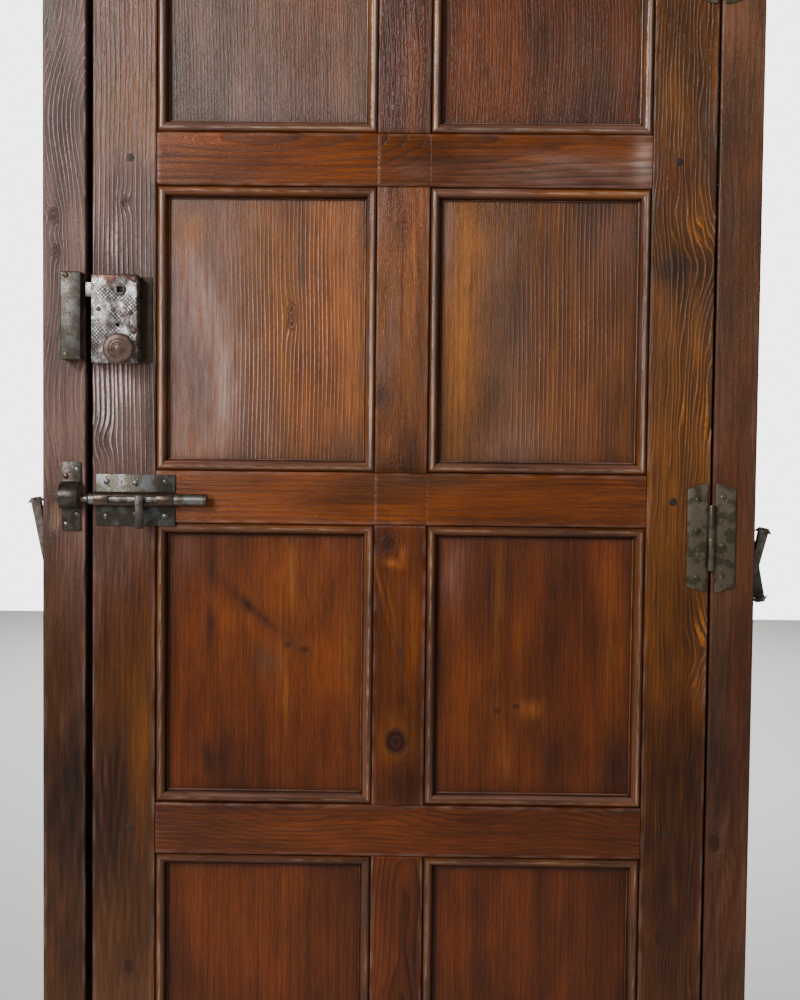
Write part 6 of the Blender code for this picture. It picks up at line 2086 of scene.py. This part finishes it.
@dataclass
class Fasteners:
    """Where every screw, rivet and peg sits, as (x, z) on the door's front."""

    iron: Ironwork
    hinge_front: float = -0.0028
    hinge_radius: float = 0.0041
    leaf_aside: float = -0.0176
    leaf_rises: Place = (0.049, 0.009, -0.051)
    jamb_aside: float = 0.0150
    jamb_rises: Place = (0.053, -0.010, -0.051)
    bolt_spots: tuple[Pair, ...] = ((-0.381, 1.0589), (-0.305, 1.0586), (-0.3816, 1.0140), (-0.3056, 1.0143),
                                    (-0.3435, 1.0573), (-0.3439, 1.0171))
    bolt_front: float = -0.0023
    bolt_radius: float = 0.0040
    strap_spots: tuple[Pair, ...] = ((-0.434, 1.0653), (-0.4194, 1.0738), (-0.4196, 1.0154), (-0.434, 1.003))
    strap_front: float = -0.0025
    strap_radius: float = 0.0038
    keeper_spots: tuple[Pair, ...] = ((-0.4283, 1.3218), (-0.4283, 1.2210))
    keeper_radius: float = 0.0040
    rivet_spots: tuple[Pair, ...] = ((-0.3865, 1.2791), (-0.3676, 1.2787), (-0.3457, 1.2750))
    rivet_radius: float = 0.0031
    rivet_dome: float = 0.35
    peg_rises: tuple[tuple[str, tuple[float, ...]], ...] = (
        ("rail_top", (-0.03, 0.03)), ("rail_upper", (0.0,)), ("rail_middle", (0.0,)), ("rail_lower", (0.0,)),
        ("rail_bottom", (-0.05, 0.05)),
    )
    peg_aside: float = 0.352
    peg_front: float = 0.0002
    peg_radius: float = 0.0052
    peg_dome: float = 0.10

    def hinge_heads(self, aside: float, rises: Place) -> list[Head]:
        """Set out the screws of all plates on one side of the hinges.

        Args:
            aside: How far the screws lie from the pin, to the right.
            rises: Their heights above the middle of the pin.

        Returns:
            The heads.
        """
        heads = []
        for level in HINGE_LEVELS:
            low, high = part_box(f"hinge_{level}_pin")
            axis, middle = (low.x + high.x) / 2, (low.z + high.z) / 2
            heads += [(axis + aside, self.hinge_front, middle + rise, self.hinge_radius) for rise in rises]
        return heads

    def peg_heads(self) -> list[Head]:
        """Set out the pegs, at both ends of every rail.

        Returns:
            The heads.
        """
        heads = []
        for node, rises in self.peg_rises:
            low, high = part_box(node)
            middle = (low.z + high.z) / 2
            for x in (-self.peg_aside, self.peg_aside):
                heads += [(x, self.peg_front, middle + rise, self.peg_radius) for rise in rises]
        return heads

    def build(self) -> None:
        """Build the heads of both bodies."""
        keeper_front, case_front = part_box("lock_keeper")[0].y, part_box("lock_case")[0].y
        leaf = self.hinge_heads(self.leaf_aside, self.leaf_rises)
        frame = self.hinge_heads(self.jamb_aside, self.jamb_rises)
        frame += [(x, keeper_front, z, self.keeper_radius) for x, z in self.keeper_spots]
        bolt = [(x, self.bolt_front, z, self.bolt_radius) for x, z in self.bolt_spots]
        strap = [(x, self.strap_front, z, self.strap_radius) for x, z in self.strap_spots]
        rivets = [(x, case_front, z, self.rivet_radius) for x, z in self.rivet_spots]
        jobs = (Heads("leaf_screws", "leaf", Metal.HINGE, leaf, seed=3),
                Heads("frame_screws", "frame", Metal.HINGE, frame, seed=5),
                Heads("bolt_screws", "leaf", Metal.ROD, bolt, seed=11),
                Heads("strap_screws", "frame", Metal.ROD, strap, seed=13),
                Heads("lock_rivets", "leaf", Metal.SCREW, rivets, 7, self.rivet_dome, slotted=False),
                Heads("leaf_pegs", "leaf", Metal.PEG, self.peg_heads(), 9, self.peg_dome, slotted=False))
        for heads in jobs:
            heads.build(self.iron)


# Studio
@dataclass(frozen=True)
class Lamp:
    """A soft square light."""

    name: str
    place: Place
    target: Place
    size: float
    power: float

    def build(self) -> None:
        """Hang the light and aim it."""
        light = bpy.data.lights.new(self.name, "AREA")
        light.size = self.size
        light.energy = self.power
        obj = bpy.data.objects.new(self.name, light)
        obj.location = self.place
        obj.rotation_euler = (Vector(self.target) - Vector(self.place)).to_track_quat("-Z", "Y").to_euler()
        bpy.context.scene.collection.objects.link(obj)


@dataclass
class Studio:
    """A plain pale room: floor, soft light and the camera."""

    eye: Place = (0.0212, -1.9034, 1.1308)
    yaw: float = math.radians(-0.661)
    pitch: float = math.radians(2.762)
    roll: float = math.radians(0.609)
    lens: float = 52.99
    sensor: float = 36.0
    floor_half: float = 7.0
    floor_step: float = 1.0
    floor_cloud: Pair = (1.2, 3.0)
    floor_shade: float = 0.94
    floor_rough: float = 0.7
    pale: Colour = (0.78, 0.77, 0.75)
    ambient: float = 0.13
    white: float = 4.0
    lamps: tuple[Lamp, ...] = (
        Lamp("key", (-1.55, -2.00, 2.25), (-0.20, 0.0, 1.30), 0.8, 46.0),
        Lamp("side", (-1.15, -2.20, 1.38), (-0.36, 0.0, 1.25), 0.4, 9.0),
        Lamp("fill", (1.60, -2.60, 1.70), (0.0, 0.0, 1.0), 1.6, 7.0),
        Lamp("rear", (0.80, 2.80, 2.60), (0.0, 0.0, 1.0), 1.6, 60.0),
        Lamp("floor_wash", (0.0, 4.60, 3.20), (0.0, 5.00, 0.0), 3.0, 260.0),
    )

    def build(self) -> None:
        """Set the studio up."""
        self.build_camera()
        self.build_floor()
        self.build_world()
        for lamp in self.lamps:
            lamp.build()

    def build_camera(self) -> None:
        """Stand the camera where the door was seen from."""
        flat = math.cos(self.pitch)
        forward = Vector((math.sin(self.yaw) * flat, math.cos(self.yaw) * flat, -math.sin(self.pitch)))
        level = Vector((math.cos(self.yaw), -math.sin(self.yaw), 0.0))
        upright = level.cross(forward)
        right = level * math.cos(self.roll) + upright * math.sin(self.roll)
        up = upright * math.cos(self.roll) - level * math.sin(self.roll)
        camera = bpy.data.cameras.new("camera")
        camera.sensor_fit = "VERTICAL"
        camera.sensor_height = self.sensor
        camera.lens = self.lens
        obj = bpy.data.objects.new("camera", camera)
        turn = Matrix((right, up, -forward)).transposed().to_4x4()
        obj.matrix_world = Matrix.Translation(self.eye) @ turn
        bpy.context.scene.collection.objects.link(obj)
        bpy.context.scene.camera = obj

    def build_floor(self) -> None:
        """Lay the pale floor."""
        shape = bmesh.new()
        cells = round(2 * self.floor_half / self.floor_step)
        bmesh.ops.create_grid(shape, x_segments=cells, y_segments=cells, size=self.floor_half)
        floor = place_shape("floor", shape)
        bench = MaterialBench("pale_floor")
        cloud = bench.noise(bench.place(), *self.floor_cloud)
        darker = tuple(self.floor_shade * part for part in self.pale)
        floor.data.materials.append(bench.surface(bench.mix(cloud, darker, self.pale), self.floor_rough))

    def build_world(self) -> None:
        """Surround the scene with white, dimmer as a light than as a background."""
        world = bpy.data.worlds.new("studio")
        world.use_nodes = True
        bench = Bench(world.node_tree)
        seen = bench.tree.nodes["Background"]
        bench.feed(seen.inputs["Color"], WHITE)
        bench.feed(seen.inputs["Strength"], self.white)
        lit = bench.out("ShaderNodeBackground", {"Color": WHITE, "Strength": self.ambient})
        to_camera = bench.node("ShaderNodeLightPath", {}).outputs["Is Camera Ray"]
        mixed = bench.out("ShaderNodeMixShader", {0: to_camera, 1: lit, 2: seen.outputs[0]})
        bench.feed(bench.tree.nodes["World Output"].inputs[0], mixed)
        bpy.context.scene.world = world


def plain(box: Sequence[Vector]) -> list[list[float]]:
    """Return a box as plain lists of numbers."""
    return [[float(part) for part in corner] for corner in box]


def main() -> None:
    """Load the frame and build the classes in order."""
    logging.basicConfig(level=logging.INFO, format="%(name)s %(message)s")
    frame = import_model()
    Studio().build()
    leaf = Leaf()
    leaf.build()
    Mouldings().build(leaf)
    DoorFrame().build()
    iron = Ironwork(frame["nodes"], frame["record"])
    Fittings(iron).build()
    Fasteners(iron).build()


if __name__ == "__main__":
    main()
